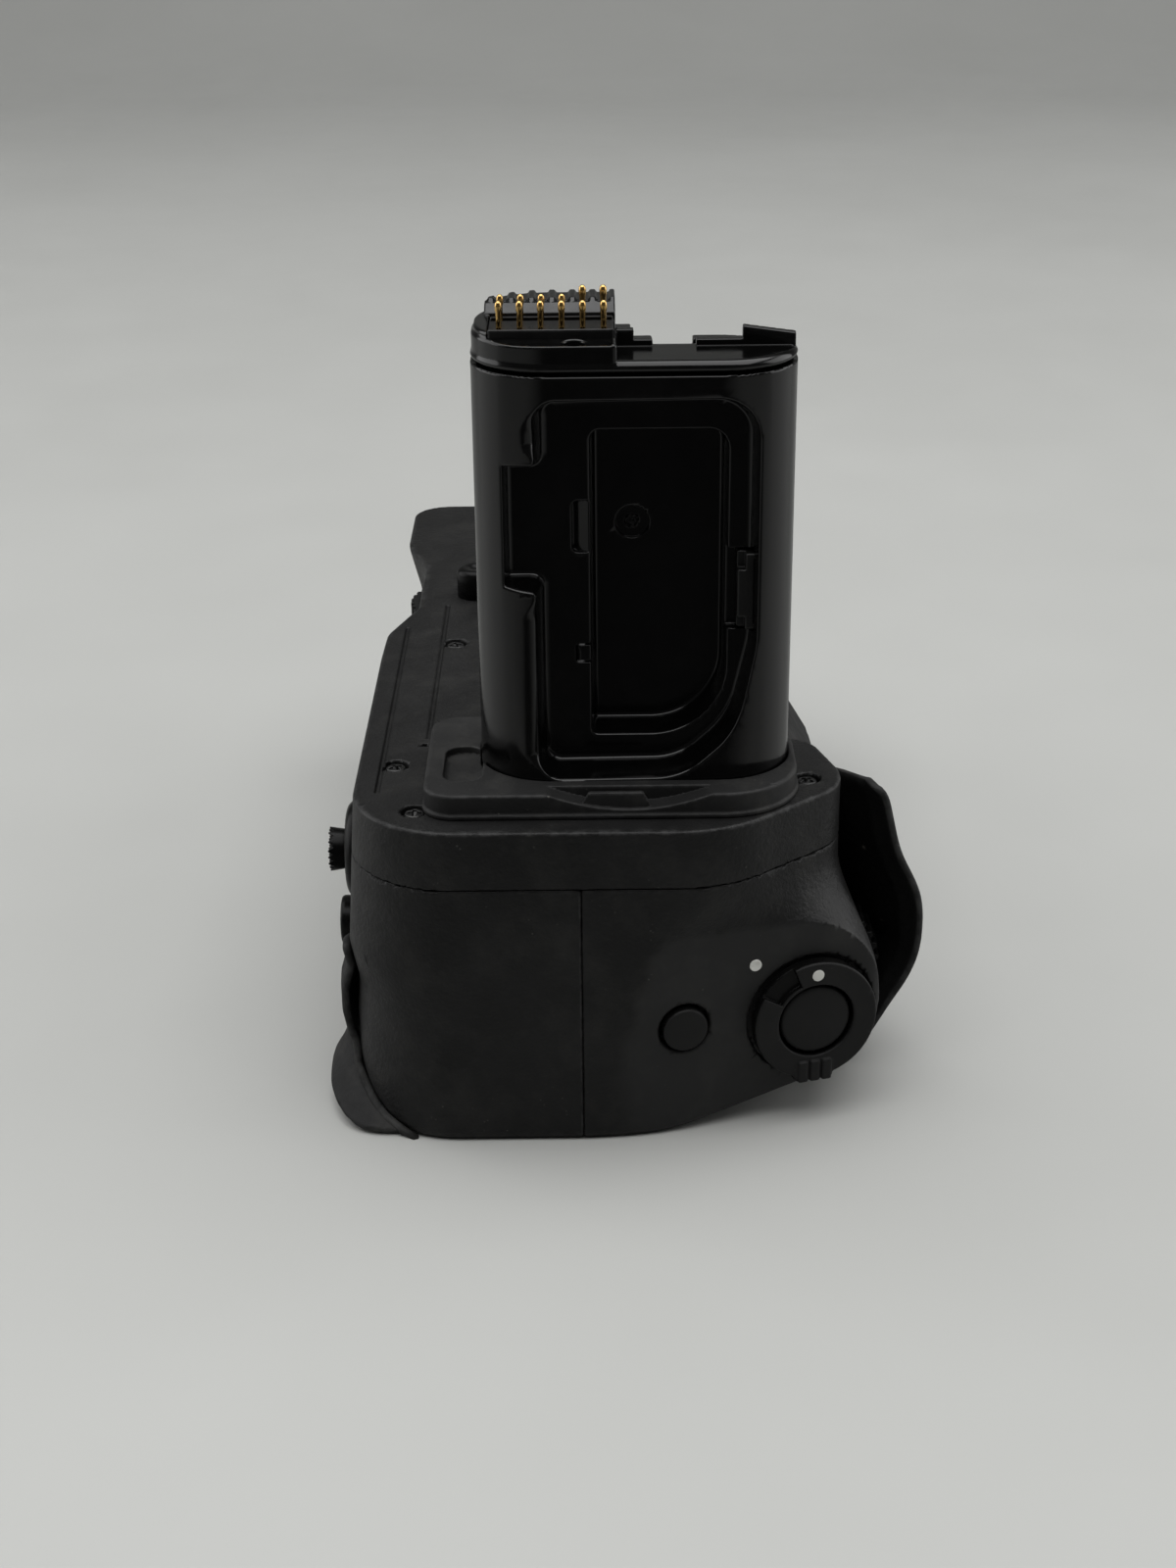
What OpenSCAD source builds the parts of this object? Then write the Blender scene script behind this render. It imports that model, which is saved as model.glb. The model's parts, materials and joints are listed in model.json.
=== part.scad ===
// Vertical battery grip for a mirrorless camera, standing on its base.
// The frame has +Z up, the base at z 0 and the origin at the mouth of the tripod socket.
// The shutter end is at -X, the tray end at +X, the lens side at -Y and the shooter's side at +Y.

/* [Body] */
// Length from the shutter end to the tray end
body_len = 137.5; // [137.5:0.5:146]
// Distance from the tripod axis to the shutter end
near_reach = 80; // [79.5:0.5:80.5]
// Height of the top plate above the base
body_h = 45; // [45:0.5:50]
// Distance from the tripod axis to the rear face
rear_y = 29; // [29:0.25:30]
// Distance from the tripod axis to the front edge of the top plate
front_y = 29; // [28:0.5:31]
// Distance from the tripod axis to the tip of the top plate's front lobe
lobe_y = 34.6; // [33.5:0.2:36]
// Distance from the tripod axis to the front of the hand grip
grip_y = 39.3; // [39.1:0.1:40]
// Wall of the covers
wall = 2; // [1.8:0.1:2.2]
// Thickness of the top plate
plate_t = 2; // [1.8:0.1:2.2]
// Height of the line where the top cover meets the lower covers
part_z = 37; // [36.8:0.1:37.2]
// Height where the lobe's shoulder steps in above the control panel
shelf_z = 31; // [30:0.25:32]
// Radius of the rounded corner beside the joystick
corner_r = 14; // [10:0.5:16]
// Width of the finger notch at the attachment wheel
notch_w = 37; // [34:0.5:40]
// Depth of the finger notch
notch_depth = 4; // [3.5:0.1:4.2]

/* [Tower] */
// Width of the tower across the body
tower_w = 40.1; // [38:0.1:40.5]
// Depth of the tower along the body
tower_d = 21; // [20.5:0.1:22]
// Radius of the tower's corners
tower_r = 9.5; // [8:0.1:10]
// Height of the cap's seam above the top plate
tower_h = 55.7; // [54:0.1:60]
// Gap from the shutter end to the tower
tower_gap = 8.7; // [8:0.1:9]
// Offset of the tower's middle towards the lens side
tower_off = 7.15; // [6.8:0.05:7.3]
// Height of the collar seal
collar_h = 3.4; // [2.5:0.1:4]
// Depth of the door pocket's outer step
pocket_d = 4.9; // [4:0.1:5]
// Extra depth of the door pocket's inner step
pocket_d2 = 5; // [4:0.1:5.2]

/* [Contacts] */
// Pins in each row
pin_count = 6; // [4:1:6]
// Pitch of the pins
pin_pitch = 2.52; // [2.3:0.02:2.54]
// Distance between the two rows
row_gap = 6; // [5.6:0.1:6.2]
// Radius of a pin
pin_r = 0.42; // [0.35:0.01:0.5]
// Height of the pin tips above the cap's seam
pin_h = 7.5; // [7:0.1:8]
// Extra height of the two long pins
long_pin = 1.1; // [0.5:0.1:1.5]

/* [Controls] */
// Turn of the control panel away from the shutter end
panel_yaw = 16; // [15:0.5:17]
// Distance from the tripod axis to the crease of the control panel
crease_y = 8; // [7.5:0.25:8.5]
// Place of the shutter button along the panel
shutter_u = 23.1; // [22.6:0.1:23.4]
// Height of the shutter button
shutter_z = 15.3; // [15:0.1:16]
// Radius of the shutter button
shutter_r = 4.85; // [4.4:0.05:4.9]
// Radius of the lock ring
ring_r = 8.5; // [8:0.1:8.8]
// Turn of the lock ring
ring_turn = 43; // [30:1:45]
// Place of the function button along the panel
func_u = 5.5; // [5:0.1:6]
// Height of the function button
func_z = 16; // [15:0.1:17]
// Radius of the function button
func_r = 3.05; // [2.8:0.05:3.2]
// Distance from the shutter end to the joystick
stick_reach = 30; // [29.5:0.25:30.5]
// Height of the joystick
stick_z = 28.9; // [28.6:0.1:29.2]
// Radius of the joystick's knurled cap
stick_r = 3.05; // [2.8:0.05:3.1]
// Height of the focus button
focus_z = 17.8; // [17:0.1:18]
// Radius of the focus button
focus_r = 3.5; // [3.2:0.05:3.6]
// Radius of the front command dial
front_dial_r = 8; // [7.6:0.1:8.1]
// Radius of the rear command dial
rear_dial_r = 5; // [4.6:0.1:5.1]
// Thickness of a command dial
dial_t = 6; // [5:0.1:6.4]

/* [Attachment] */
// Radius of the mounting screw's thread
screw_r = 3.175; // [3.175:0.001:3.175]
// Length of the mounting screw above the top plate
screw_h = 5; // [4:0.1:6]
// Bore radius of the tripod socket
socket_r = 2.55; // [2.55:0.01:2.6]
// Depth of the tripod socket
socket_h = 6; // [5.5:0.1:6]
// Tooth size of the gears, pitch diameter over teeth
gear_module = 0.8; // [0.78:0.01:0.8]
// Teeth on the attachment wheel's gear
wheel_teeth = 20; // [20:1:20]
// Teeth on the mounting screw's gear
screw_teeth = 38; // [38:1:38]
// Radius of the attachment wheel's rim
wheel_r = 11.5; // [10.8:0.1:11.6]
// Distance from the tripod axis to the wheel's axle, along the body
wheel_x = 16.8; // [16.6:0.05:17]

/* [Batteries] */
// Length of a battery pack
pack_l = 56; // [54:0.1:56]
// Width of a battery pack
pack_w = 40; // [38:0.1:40]
// Thickness of a battery pack
pack_t = 20.5; // [19:0.1:20.5]
// Wall of the battery chamber and the tray
chamber_wall = 1; // [0.8:0.05:1.1]
// Thickness of the tray door
door_t = 3; // [2.8:0.1:3.2]
// Radius of the latch knob
knob_r = 7; // [6:0.1:8]

/* [Skins] */
// Thickness of the rubber skins
skin_t = 1; // [0.8:0.05:1.2]
// How far the peeled front skin stands off at its free edge
peel = 6.5; // [4:0.1:7]
// How far the loose thumb skin flares at its foot
flare = 5; // [3:0.1:5.5]

/* [Clearances] */
// Gap round a part that slides or turns
play = 0.3; // [0.25:0.01:0.35]
// Radial gap of an axle in its bore
axle_play = 0.06; // [0.04:0.01:0.1]

/* [Hidden] */
$fn = 48;
// Degrees between the points of a rounded corner
arc_step = 7.5;
// A cut runs this far past the face that it opens
past = 1;

// The body's sizes hold for a pack of this length, width and thickness, and a larger pack makes it grow
drawn_pack = [56, 40, 20.5];
grow_x = 2 * (pack_l - drawn_pack.x);
grow_y = (pack_w - drawn_pack.y) / 2;
grow_z = pack_t - drawn_pack.z;
near_x = -near_reach;
far_x = body_len - near_reach + grow_x;
back_y = rear_y + grow_y;
hold_y = grip_y + grow_y;
plate_z = body_h + grow_z;
line_z = part_z + grow_z;
ceil_z = plate_z - plate_t;
far_r = 6;
lobe_len = 34;
lobe_end = near_x + lobe_len;
taper_x = far_x - 42.5;
notch_r = (notch_w * notch_w / 4 + notch_depth * notch_depth) / (2 * notch_depth);
notch_z = 24;

// Outline of the top plate, corner by corner: x, y and the corner's radius
upper_plan = [
    [near_x, back_y, corner_r],
    [near_x, -18.5, 17],
    [near_x + 16.5, -lobe_y - 2.9, 10],
    [lobe_end, -front_y, 12],
    [far_x, -front_y, far_r],
    [far_x, back_y, far_r]];
// Outline of the hand grip below the shelf, with the control panel as its slanted end
grip_line = -hold_y - 0.2;
lower_plan = [
    [near_x, back_y, corner_r],
    [near_x, -crease_y, 6],
    [near_x - (grip_line + crease_y) * tan(panel_yaw), grip_line, 3.5],
    [taper_x, grip_line, 60],
    [far_x, -front_y, 8],
    [far_x, back_y, far_r]];
// The part of that outline that carries the lobe's fuller shoulder, cut off slantwise behind the lobe
shoulder_end = lobe_end + 8;
shoulder_plan = [
    lower_plan[0],
    lower_plan[1],
    lower_plan[2],
    [near_x + 22, grip_line, 8],
    [shoulder_end, -front_y - 2, 4],
    [shoulder_end, back_y, 0]];
// Cross-section of the body, corner by corner: y, z and the corner's radius
foot_front = 12;
heel_z = 5.6;
heel_y = -hold_y + 6.3;
base_profile = [
    [-hold_y, 10.5, 5],
    [heel_y, heel_z, 14],
    [-foot_front, 0, 30],
    [back_y, 0, 9],
    [back_y, plate_z, 0]];
lobe_profile = concat([[-lobe_y, plate_z, 0], [-lobe_y, 36, 12], [-hold_y, 20, 20]], base_profile);
main_profile = concat([[-front_y, plate_z, 0], [-front_y, 35, 8], [-hold_y, 21, 12]], base_profile);

// Tower and what stands on it
tower_x0 = near_x + tower_gap;
tower_x1 = tower_x0 + tower_d;
tower_y0 = -tower_off - tower_w / 2;
tower_y1 = -tower_off + tower_w / 2;
seam_z = plate_z + tower_h;
cap_low = 1.6;
cap_high = 3.9;
bank_high = 4.4;
block_step = 8;
block_y0 = -tower_off + 2.2;
row_x = tower_x0 + 5.3;
row_y0 = block_y0 + 1.5;
board_t = 1.2;
block_x0 = row_x - 1.4;
block_x1 = row_x + row_gap + 1.8;
block_y1 = row_y0 + (pin_count - 1) * pin_pitch + 1.4;
roof = 2.7;
// Outlines of the door pocket: distance from the tower's middle, height over the plate, radius
pocket_outer = [
    [12.3, 3.6, 2.5],
    [-15.3, 3.6, 11],
    [-15.3, tower_h - 3.2, 5],
    [12.3, tower_h - 3.2, 3],
    [12.3, 44.6, 0.8],
    [16.6, 44.6, 0.8],
    [16.6, 28.5, 0.8],
    [12.3, 28.5, 0.8]];
pocket_inner = [
    [5.5, 7.7, 1],
    [-11.5, 7.7, 9.5],
    [-11.5, tower_h - 7.9, 2.5],
    [5.5, tower_h - 7.9, 2.5]];
pocket_floor = tower_x0 + pocket_d;
pocket_back = pocket_floor + pocket_d2;
catch_y = -tower_off - 15.3;
catch_z = plate_z + 27.3;
catch_h = 10;
catch_t = 3;
catch_reach = 2.6;
catch_root = 0.6;
catch_room = 1.6;
catch_travel = 0.7;

// Flex cable down the back of the tower
flex_t = 0.3;
flex_w = 10;
flex_x = tower_x1 - 4;
flex_y0 = -tower_off + 5;

// Battery chamber, from the tray door inwards
bay_y = -1.7;
chamber_z = 6.6;
tray_w = pack_w + 0.4 + 2 * chamber_wall;
bay_w = tray_w + 2 * play;
chamber_w = bay_w + 2 * chamber_wall;
tray_z = chamber_z + chamber_wall + 0.2 + play;
tray_floor = 1.2;
pack_z = tray_z + tray_floor;
chamber_top = pack_z + pack_t + 0.5 + chamber_wall;
door_x = far_x - door_t;
cam_gap = 1.3;
pack_gap = 0.4;
pack_x1 = door_x - cam_gap;
pack_x0 = pack_x1 - 2 * pack_l - pack_gap;
tray_x0 = pack_x0 - play - chamber_wall;
bay_x0 = tray_x0 - 0.8;
chamber_x0 = bay_x0 - chamber_wall;
chamber_x1 = door_x - play;

// Attachment gear train
chassis_t = 1.2;
chassis_z = chamber_top + chassis_t;
screw_pitch_r = gear_module * screw_teeth / 2;
wheel_pitch_r = gear_module * wheel_teeth / 2;
tooth_add = 0.6 * gear_module;
tooth_ded = 0.9 * gear_module;
wheel_y = sqrt(pow(screw_pitch_r + wheel_pitch_r, 2) - wheel_x * wheel_x);
mesh_angle = atan2(wheel_y, wheel_x);
gear_z = chassis_z + 0.9;
gear_t = 2.6;
rim_z = line_z + 0.4;
rim_t = 4.2;
shaft_r = 3;
bush_z = ceil_z - 1;
axle_r = 1.5;
post_r = 2;
posts = [[-19, -15], [-19, 15], [34, -15], [34, 8]];

// Cover screws seen on the top plate, as x and y
screw_head_r = 1.6;
screw_head_t = 1.1;
screw_shank_r = 0.9;
screw_len = 7;
screw_places = [
    [near_x + 21.8, back_y - 4.4],
    [near_x + 7.2, back_y - 7.8],
    [near_x + 16.2, -lobe_y + 4.9],
    [near_x + 68, back_y - 10.2]];

// Depths behind the control panel, measured along its outward normal
panel_board_w = -10;
switch_top = -7;
shutter_travel = 1.2;
button_travel = 0.8;
ring_face = 2.2;
ring_bore = shutter_r + 0.4;
ring_hub = ring_bore + 1.15;
func_hole = func_r + 0.45;
mark_r = 0.8;
mark_t = 0.5;
mark_reach = ring_r + 3.3;
// The lock ring keeps its distance from the panel's front end, so it moves with a wider pack
ring_u = shutter_u + grow_y / cos(panel_yaw);
panel_mark_u = ring_u - mark_reach * sin(ring_turn);
panel_mark_z = shutter_z + mark_reach * cos(ring_turn);
ring_mark_v = ring_r - 1.7;

// Joystick and focus button on the rear face
stick_x = near_x + stick_reach;
rear_inner = back_y - wall;
rear_board_y = bay_y + chamber_w / 2 + 0.1;
rear_board_t = 0.8;
housing_y = rear_board_y + rear_board_t;
housing_w = 12.2;
housing_wall = 0.8;
carrier_w = housing_w - 2 * housing_wall - 0.4;
carrier_y = housing_y + housing_wall + 0.7;
carrier_t = 0.8;
pivot_y = rear_inner - 1.4;
boot_r = 7;
boot_h = 3.5;
crater_r = stick_r + 1.15;

// Command dials
dial_axle_r = 0.8;
front_dial_x = near_x + 23;
front_dial_y = -hold_y + 6.5;
front_dial_z = 16.2;
rear_dial_x = near_x + 46;
rear_dial_y = back_y - 2.4;
rear_dial_z = 28;
ear_t = 1.8;

// Helpers for outlines with rounded corners

function unit(v) = v / norm(v);

// Points of the arc that rounds the corner q between its neighbours p and s
function corner_arc(p, q, s, r) =
    let (
        a = unit(p - q),
        b = unit(s - q),
        half = acos(a * b) / 2,
        centre = q + unit(a + b) * r / sin(half),
        from = q + a * r / tan(half) - centre,
        to = q + b * r / tan(half) - centre,
        start = atan2(from.y, from.x),
        sweep = (atan2(to.y, to.x) - start + 540) % 360 - 180,
        steps = ceil(abs(sweep) / arc_step)
    )
    [for (i = [0 : steps]) centre + r * [cos(start + sweep * i / steps), sin(start + sweep * i / steps)]];

function flat(c) = [c.x, c.y];

// Outline of a list of corners, each with its own radius
function rounded(c) =
    let (n = len(c))
    [for (i = [0 : n - 1])
        let (p = flat(c[(i + n - 1) % n]), q = flat(c[i]), s = flat(c[(i + 1) % n]))
        each c[i].z > 0 ? corner_arc(p, q, s, c[i].z) : [q]];

// The same corners moved inwards by d, for outlines that run anticlockwise
function inset(c, d) =
    let (n = len(c))
    [for (i = [0 : n - 1])
        let (
            u = unit(flat(c[i]) - flat(c[(i + n - 1) % n])),
            v = unit(flat(c[(i + 1) % n]) - flat(c[i])),
            nu = [-u.y, u.x],
            nv = [-v.y, v.x],
            q = flat(c[i]) + d * (nu + nv) / (1 + nu * nv),
            turn = sign(cross(u, v))
        )
        [q.x, q.y, c[i].z > 0 ? max(0.4, c[i].z - d * turn) : 0]];

module box(lo, hi) translate(lo) cube(hi - lo);

module slab(outline, d, z0, z1)
    translate([0, 0, z0]) linear_extrude(z1 - z0) polygon(rounded(inset(outline, d)));

// A section drawn in y and z, run along the body from x0 to x1
module run_x(x0, x1) translate([x0, 0, 0]) rotate([90, 0, 90]) linear_extrude(x1 - x0) children();

module section(outline, d, x0, x1) run_x(x0, x1) polygon(rounded(inset(outline, d)));

module rod_x(x0, x1, y, z, r) translate([x0, y, z]) rotate([0, 90, 0]) cylinder(h = x1 - x0, r = r);
module rod_y(y0, y1, x, z, r) translate([x, y0, z]) rotate([-90, 0, 0]) cylinder(h = y1 - y0, r = r);
module rod_z(z0, z1, x, y, r) translate([x, y, z0]) cylinder(h = z1 - z0, r = r);

// Places its children on the control panel: x along the panel, y up, z outwards
module on_panel(u, v)
    translate([near_x, -crease_y, 0]) rotate([90, 0, panel_yaw - 90]) translate([u, v, 0]) children();

module panel_rod(u, v, w0, w1, r) on_panel(u, v) translate([0, 0, w0]) cylinder(h = w1 - w0, r = r);

// Outline of a wheel with straight-sided teeth
module teeth(n, r_root, r_tip, root_half, tip_half, phase = 0)
    polygon([for (i = [0 : n - 1])
        for (k = [[r_root, -root_half], [r_tip, -tip_half], [r_tip, tip_half], [r_root, root_half]])
            let (a = phase + (i + k.y) * 360 / n)
            k.x * [cos(a), sin(a)]]);

// Closed sheet between two grids of points with the same rows and columns
module sheet(outer, inner) {
    rows = len(outer);
    cols = len(outer[0]);
    size = rows * cols;
    points = concat([for (r = outer) each r], [for (r = inner) each r]);
    function at(side, r, c) = side * size + r * cols + c;
    skin = [for (side = [0, 1]) for (r = [0 : rows - 2]) for (c = [0 : cols - 2])
        let (
            a = at(side, r, c),
            b = at(side, r, c + 1),
            d = at(side, r + 1, c + 1),
            e = at(side, r + 1, c)
        )
        each side == 0 ? [[a, b, d], [a, d, e]] : [[a, d, b], [a, e, d]]];
    ends = [for (r = [0, rows - 1]) for (c = [0 : cols - 2])
        let (a = at(0, r, c), b = at(0, r, c + 1), d = at(1, r, c + 1), e = at(1, r, c))
        each r == 0 ? [[a, d, b], [a, e, d]] : [[a, b, d], [a, d, e]]];
    sides = [for (c = [0, cols - 1]) for (r = [0 : rows - 2])
        let (a = at(0, r, c), b = at(0, r + 1, c), d = at(1, r + 1, c), e = at(1, r, c))
        each c == 0 ? [[a, b, d], [a, d, e]] : [[a, d, b], [a, e, d]]];
    polyhedron(points, concat(skin, ends, sides));
}

// Forms that the covers share

module notch(d)
    rod_z(notch_z - d, plate_z + past, wheel_x, back_y - notch_depth + notch_r, notch_r + d);

// Everything inside the lower covers' skin, d below their surface
module lower_form(d) {
    top = d > 0 ? line_z + past : line_z;
    lap = 3 * wall;
    intersection() {
        slab(lower_plan, d, 0, top);
        section(main_profile, d, lobe_end + d, far_x + past);
    }
    intersection() {
        slab(shoulder_plan, d, 0, shelf_z - d);
        section(lobe_profile, d, near_x - past, far_x);
    }
    slab(upper_plan, d, shelf_z + d, top);
    intersection() {
        slab(upper_plan, d, shelf_z - lap, shelf_z + lap / 2);
        slab(shoulder_plan, d, shelf_z - lap, shelf_z + lap / 2);
        section(lobe_profile, d, near_x - past, far_x);
    }
}

module lower_shell()
    difference() {
        lower_form(0);
        notch(0);
        difference() {
            lower_form(wall);
            notch(wall);
        }
    }

rib_t = 1.6;
rib_places = [-44, -22, 24, 44];

// Ribs under the battery chamber
module ribs(y0, y1)
    intersection() {
        lower_form(wall / 2);
        for (x = rib_places)
            box([x - rib_t / 2, y0, 0], [x + rib_t / 2, y1, chamber_z]);
    }

module door_opening()
    box([door_x - wall, bay_y - chamber_w / 2 - play, chamber_z - play],
        [far_x + past, bay_y + chamber_w / 2 + play, chamber_top + play]);

// Two ears that hold the axle of a dial
module dial_ears(x, y0, y1, z)
    for (side = [-1, 1])
        translate([x + side * (dial_t / 2 + play + ear_t / 2), 0, 0])
            box([-ear_t / 2, y0, z - 2], [ear_t / 2, y1, z + 2]);

module dial_bore(x, y, z)
    rod_x(x - dial_t / 2 - play - ear_t, x + dial_t / 2 + play + ear_t, y, z, dial_axle_r);

// The slot opens the wall on one side of the axle: outward is 1 at the rear and -1 at the front
module dial_slot(x, y, z, r, outward)
    intersection() {
        rod_x(x - dial_t / 2 - play, x + dial_t / 2 + play, y, z, r + 2 * play);
        translate([0, outward * r, 0]) box([x - dial_t, y - r, z - 2 * r], [x + dial_t, y + r, z + 2 * r]);
    }

// Slot that lets the flex cable through a wall
module flex_slot(z0, z1)
    box([flex_x - flex_t - 0.7, flex_y0 - 0.7, z0], [flex_x + 0.7, flex_y0 + flex_w + 0.7, z1]);

// The covers

// Fine grooves in the top plate: start and end along the body, and distance from the rear edge
groove_w = 0.5;
groove_d = 0.4;
grooves = [[13, 75, 2.8], [31, 85, 8.5]];

module top_cover() color("#2b2c2e") difference() {
    union() {
        difference() {
            slab(upper_plan, 0, line_z, plate_z);
            notch(0);
            difference() {
                slab(upper_plan, wall, line_z - past, ceil_z);
                notch(wall);
            }
        }
        for (p = posts)
            rod_z(chassis_z, ceil_z + past / 2, p.x, p.y, post_r);
        for (p = screw_places)
            rod_z(plate_z - screw_len - wall / 2, ceil_z + past / 2, p.x, p.y, screw_head_r + 0.7);
    }
    for (p = screw_places) {
        rod_z(plate_z - screw_head_t, plate_z + past, p.x, p.y, screw_head_r + axle_play);
        rod_z(plate_z - screw_len - wall / 2 - past, plate_z, p.x, p.y, screw_shank_r + axle_play);
    }
    rod_z(line_z - past, rim_z + rim_t + play, wheel_x, wheel_y, wheel_r + 2 * play);
    rod_z(ceil_z - past, plate_z + past, 0, 0, 2 * screw_r);
    flex_slot(ceil_z - past, plate_z + past);
    for (g = grooves)
        translate([near_x, back_y - g[2], plate_z])
            box([g[0], 0, -groove_d], [g[1], groove_w, past]);
}

stick_hole = stick_r + 0.35;
board_posts = [[-8, -15.4], [8, -15.4], [-8, 6.1], [8, 6.1]];

module rear_cover() color("#2b2c2e") difference() {
    union() {
        intersection() {
            lower_shell();
            box([near_x - past, 0, -past], [far_x + past, back_y + past, line_z + past]);
        }
        ribs(0, bay_y + chamber_w / 2);
        dial_ears(rear_dial_x, rear_dial_y - 2, rear_inner + wall / 2, rear_dial_z);
        for (p = board_posts)
            rod_y(housing_y, rear_inner + wall / 2, stick_x + p.x, stick_z + p.y, 1.3);
    }
    door_opening();
    rod_z(-past, wall + past, 0, 0, bush_r + axle_play);
    rod_y(rear_inner - past, back_y + past, stick_x, stick_z, stick_hole);
    rod_y(rear_inner - past, back_y + past, stick_x, focus_z, focus_r + play);
    rod_z(chassis_z, line_z + past, wheel_x, wheel_y, wheel_pitch_r + tooth_add + 3 * play);
    dial_slot(rear_dial_x, rear_dial_y, rear_dial_z, rear_dial_r, 1);
    dial_bore(rear_dial_x, rear_dial_y, rear_dial_z);
}

bush_r = 6;
panel_post_u = 12.4;
panel_post_r = 1.4;
panel_board_v = [9, 24];

module front_cover() color("#2b2c2e") difference() {
    union() {
        intersection() {
            lower_shell();
            box([near_x - past, grip_line - past, -past], [far_x + past, 0, line_z + past]);
        }
        ribs(bay_y - chamber_w / 2, 0);
        intersection() {
            lower_form(wall / 2);
            dial_ears(front_dial_x, -hold_y, front_dial_y + 2, front_dial_z);
        }
        for (v = [panel_board_v[0] + panel_post_r, panel_board_v[1] - panel_post_r])
            panel_rod(panel_post_u, v, panel_board_w + board_t, -wall / 2, panel_post_r);
    }
    door_opening();
    rod_z(-past, wall + past, 0, 0, bush_r + axle_play);
    panel_rod(ring_u, shutter_z, -wall - past, past, ring_hub + play);
    panel_rod(func_u, func_z, -wall - past, past, func_hole);
    panel_rod(panel_mark_u, panel_mark_z, -mark_t, past, mark_r);
    dial_slot(front_dial_x, front_dial_y, front_dial_z, front_dial_r, -1);
    dial_bore(front_dial_x, front_dial_y, front_dial_z);
}

// Tower

tower_plan = [
    [tower_x0, tower_y1, tower_r],
    [tower_x0, tower_y0, tower_r],
    [tower_x1, tower_y0, tower_r],
    [tower_x1, tower_y1, tower_r]];
collar_wall = 0.9;
collar_plan = [
    [tower_x0 - 4.6, tower_y1 + 7.1, 4],
    [tower_x0 - 4.6, tower_y0 - collar_wall, 10],
    [tower_x1 + collar_wall, tower_y0 - collar_wall, 10],
    [tower_x1 + collar_wall, tower_y1 + 7.1, 4]];

module collar_seal() color("#3a3b3d") difference() {
    slab(collar_plan, 0, plate_z, plate_z + collar_h);
    slab(tower_plan, -0.1, plate_z - past, plate_z + collar_h + past);
    slab([[tower_x0 + 0.1, tower_y1 + 4.7, 1.5], [tower_x0 + 0.1, tower_y1 + 0.9, 1.5],
        [tower_x0 + 11.3, tower_y1 + 0.9, 1.5], [tower_x0 + 11.3, tower_y1 + 4.7, 1.5]],
        0, plate_z + 1, plate_z + collar_h + past);
}

module in_pocket(outline, x0, x1) translate([0, -tower_off, plate_z]) run_x(x0, x1) polygon(rounded(outline));

cap_notch_y0 = tower_y0 + 6.8;
cap_notch_y1 = block_y0 - 2;
cap_notch_x = tower_x0 + block_step;
cap_notch_d = 1.2;
cap_wall = 1.7;

// The tower as a whole: a front frame with the door pocket, and a hollow shell behind it
module tower_form() difference() {
    slab(tower_plan, 0, plate_z, seam_z);
    in_pocket(pocket_outer, tower_x0 - past, pocket_floor);
    in_pocket(pocket_inner, pocket_floor - past, pocket_back);
    intersection() {
        slab(tower_plan, 1.6, plate_z - past, seam_z - roof);
        box([pocket_back + 1.6, tower_y0, plate_z - past], [tower_x1, tower_y1, seam_z]);
    }
    flex_slot(seam_z - roof - past, seam_z + past);
    cap_notch(cap_notch_x, tower_x1 - cap_wall, cap_notch_y0, cap_notch_y1);
    cap_notch(tower_x1 - 2, tower_x1 + past, cap_notch_y0 + 5.6, cap_notch_y1 - 2.7);
    catch_block(play, catch_travel + play, catch_room);
}

module tower_slice(x0, x1)
    intersection() {
        tower_form();
        box([x0, tower_y0 - past, plate_z], [x1, tower_y1 + past, seam_z]);
    }

module tower_front() color("#18191a") tower_slice(tower_x0 - past, pocket_back);

module tower_shell() color("#18191a") tower_slice(pocket_back, tower_x1 + past);

// Sunken floor in the tower's top, open upwards
module cap_notch(x0, x1, y0, y1) box([x0, y0, seam_z - cap_notch_d], [x1, y1, seam_z + past]);

// The catch, or with more room round it the slot that it moves in
module catch_block(side, back, front)
    box([pocket_floor - catch_t / 2 - side, catch_y - catch_root - back, catch_z - catch_h / 2 - side],
        [pocket_floor + catch_t / 2 + side, catch_y + catch_reach + front, catch_z + catch_h / 2 + side]);

module door_catch() color("#2a2a2c") catch_block(0, 0, 0);

module pin_board() color("#3b5a3a")
    box([block_x0 + 0.2, block_y0 + 0.4, seam_z], [tower_x1 - 2.8, block_y1 - 0.2, seam_z + board_t]);

module tower_cap() color("#18191a") difference() {
    union() {
        slab(tower_plan, 0, seam_z, seam_z + cap_low);
        intersection() {
            slab(tower_plan, 0.3, seam_z, seam_z + cap_high);
            box([tower_x0, block_y0, seam_z], [tower_x1, tower_y1, seam_z + cap_high]);
        }
        intersection() {
            slab(tower_plan, 0.3, seam_z, seam_z + bank_high);
            box([block_x1, block_y0, seam_z], [tower_x1, block_y1 + 0.4, seam_z + bank_high]);
        }
    }
    box([block_x0, block_y0 + 0.2, seam_z - past], [tower_x1 - 2.6, block_y1, seam_z + board_t]);
    box([block_x0, block_y0 + 0.2, seam_z], [block_x1, block_y1, seam_z + bank_high + past]);
    box([cap_notch_x, cap_notch_y0, seam_z - past], [tower_x1 + past, cap_notch_y1, seam_z + bank_high]);
    rod_z(seam_z + cap_high - 0.6, seam_z + bank_high, tower_x0 + 2, row_y0 + 3.8, 0.9);
}

function is_long(row, i) = row == 1 && i < 2;
function pin_radius(row, i) = pin_r + (is_long(row, i) ? 0.08 : 0);
pin_travel = 1;
pin_foot = seam_z + board_t + pin_travel + 0.05;

// A bar of the pin block from its near face to x1, up to the height h over the seam
module block_bar(x1, h)
    box([block_x0 + 0.1, block_y0 + 0.3, seam_z + board_t], [x1, block_y1 - 0.1, seam_z + h]);

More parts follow.
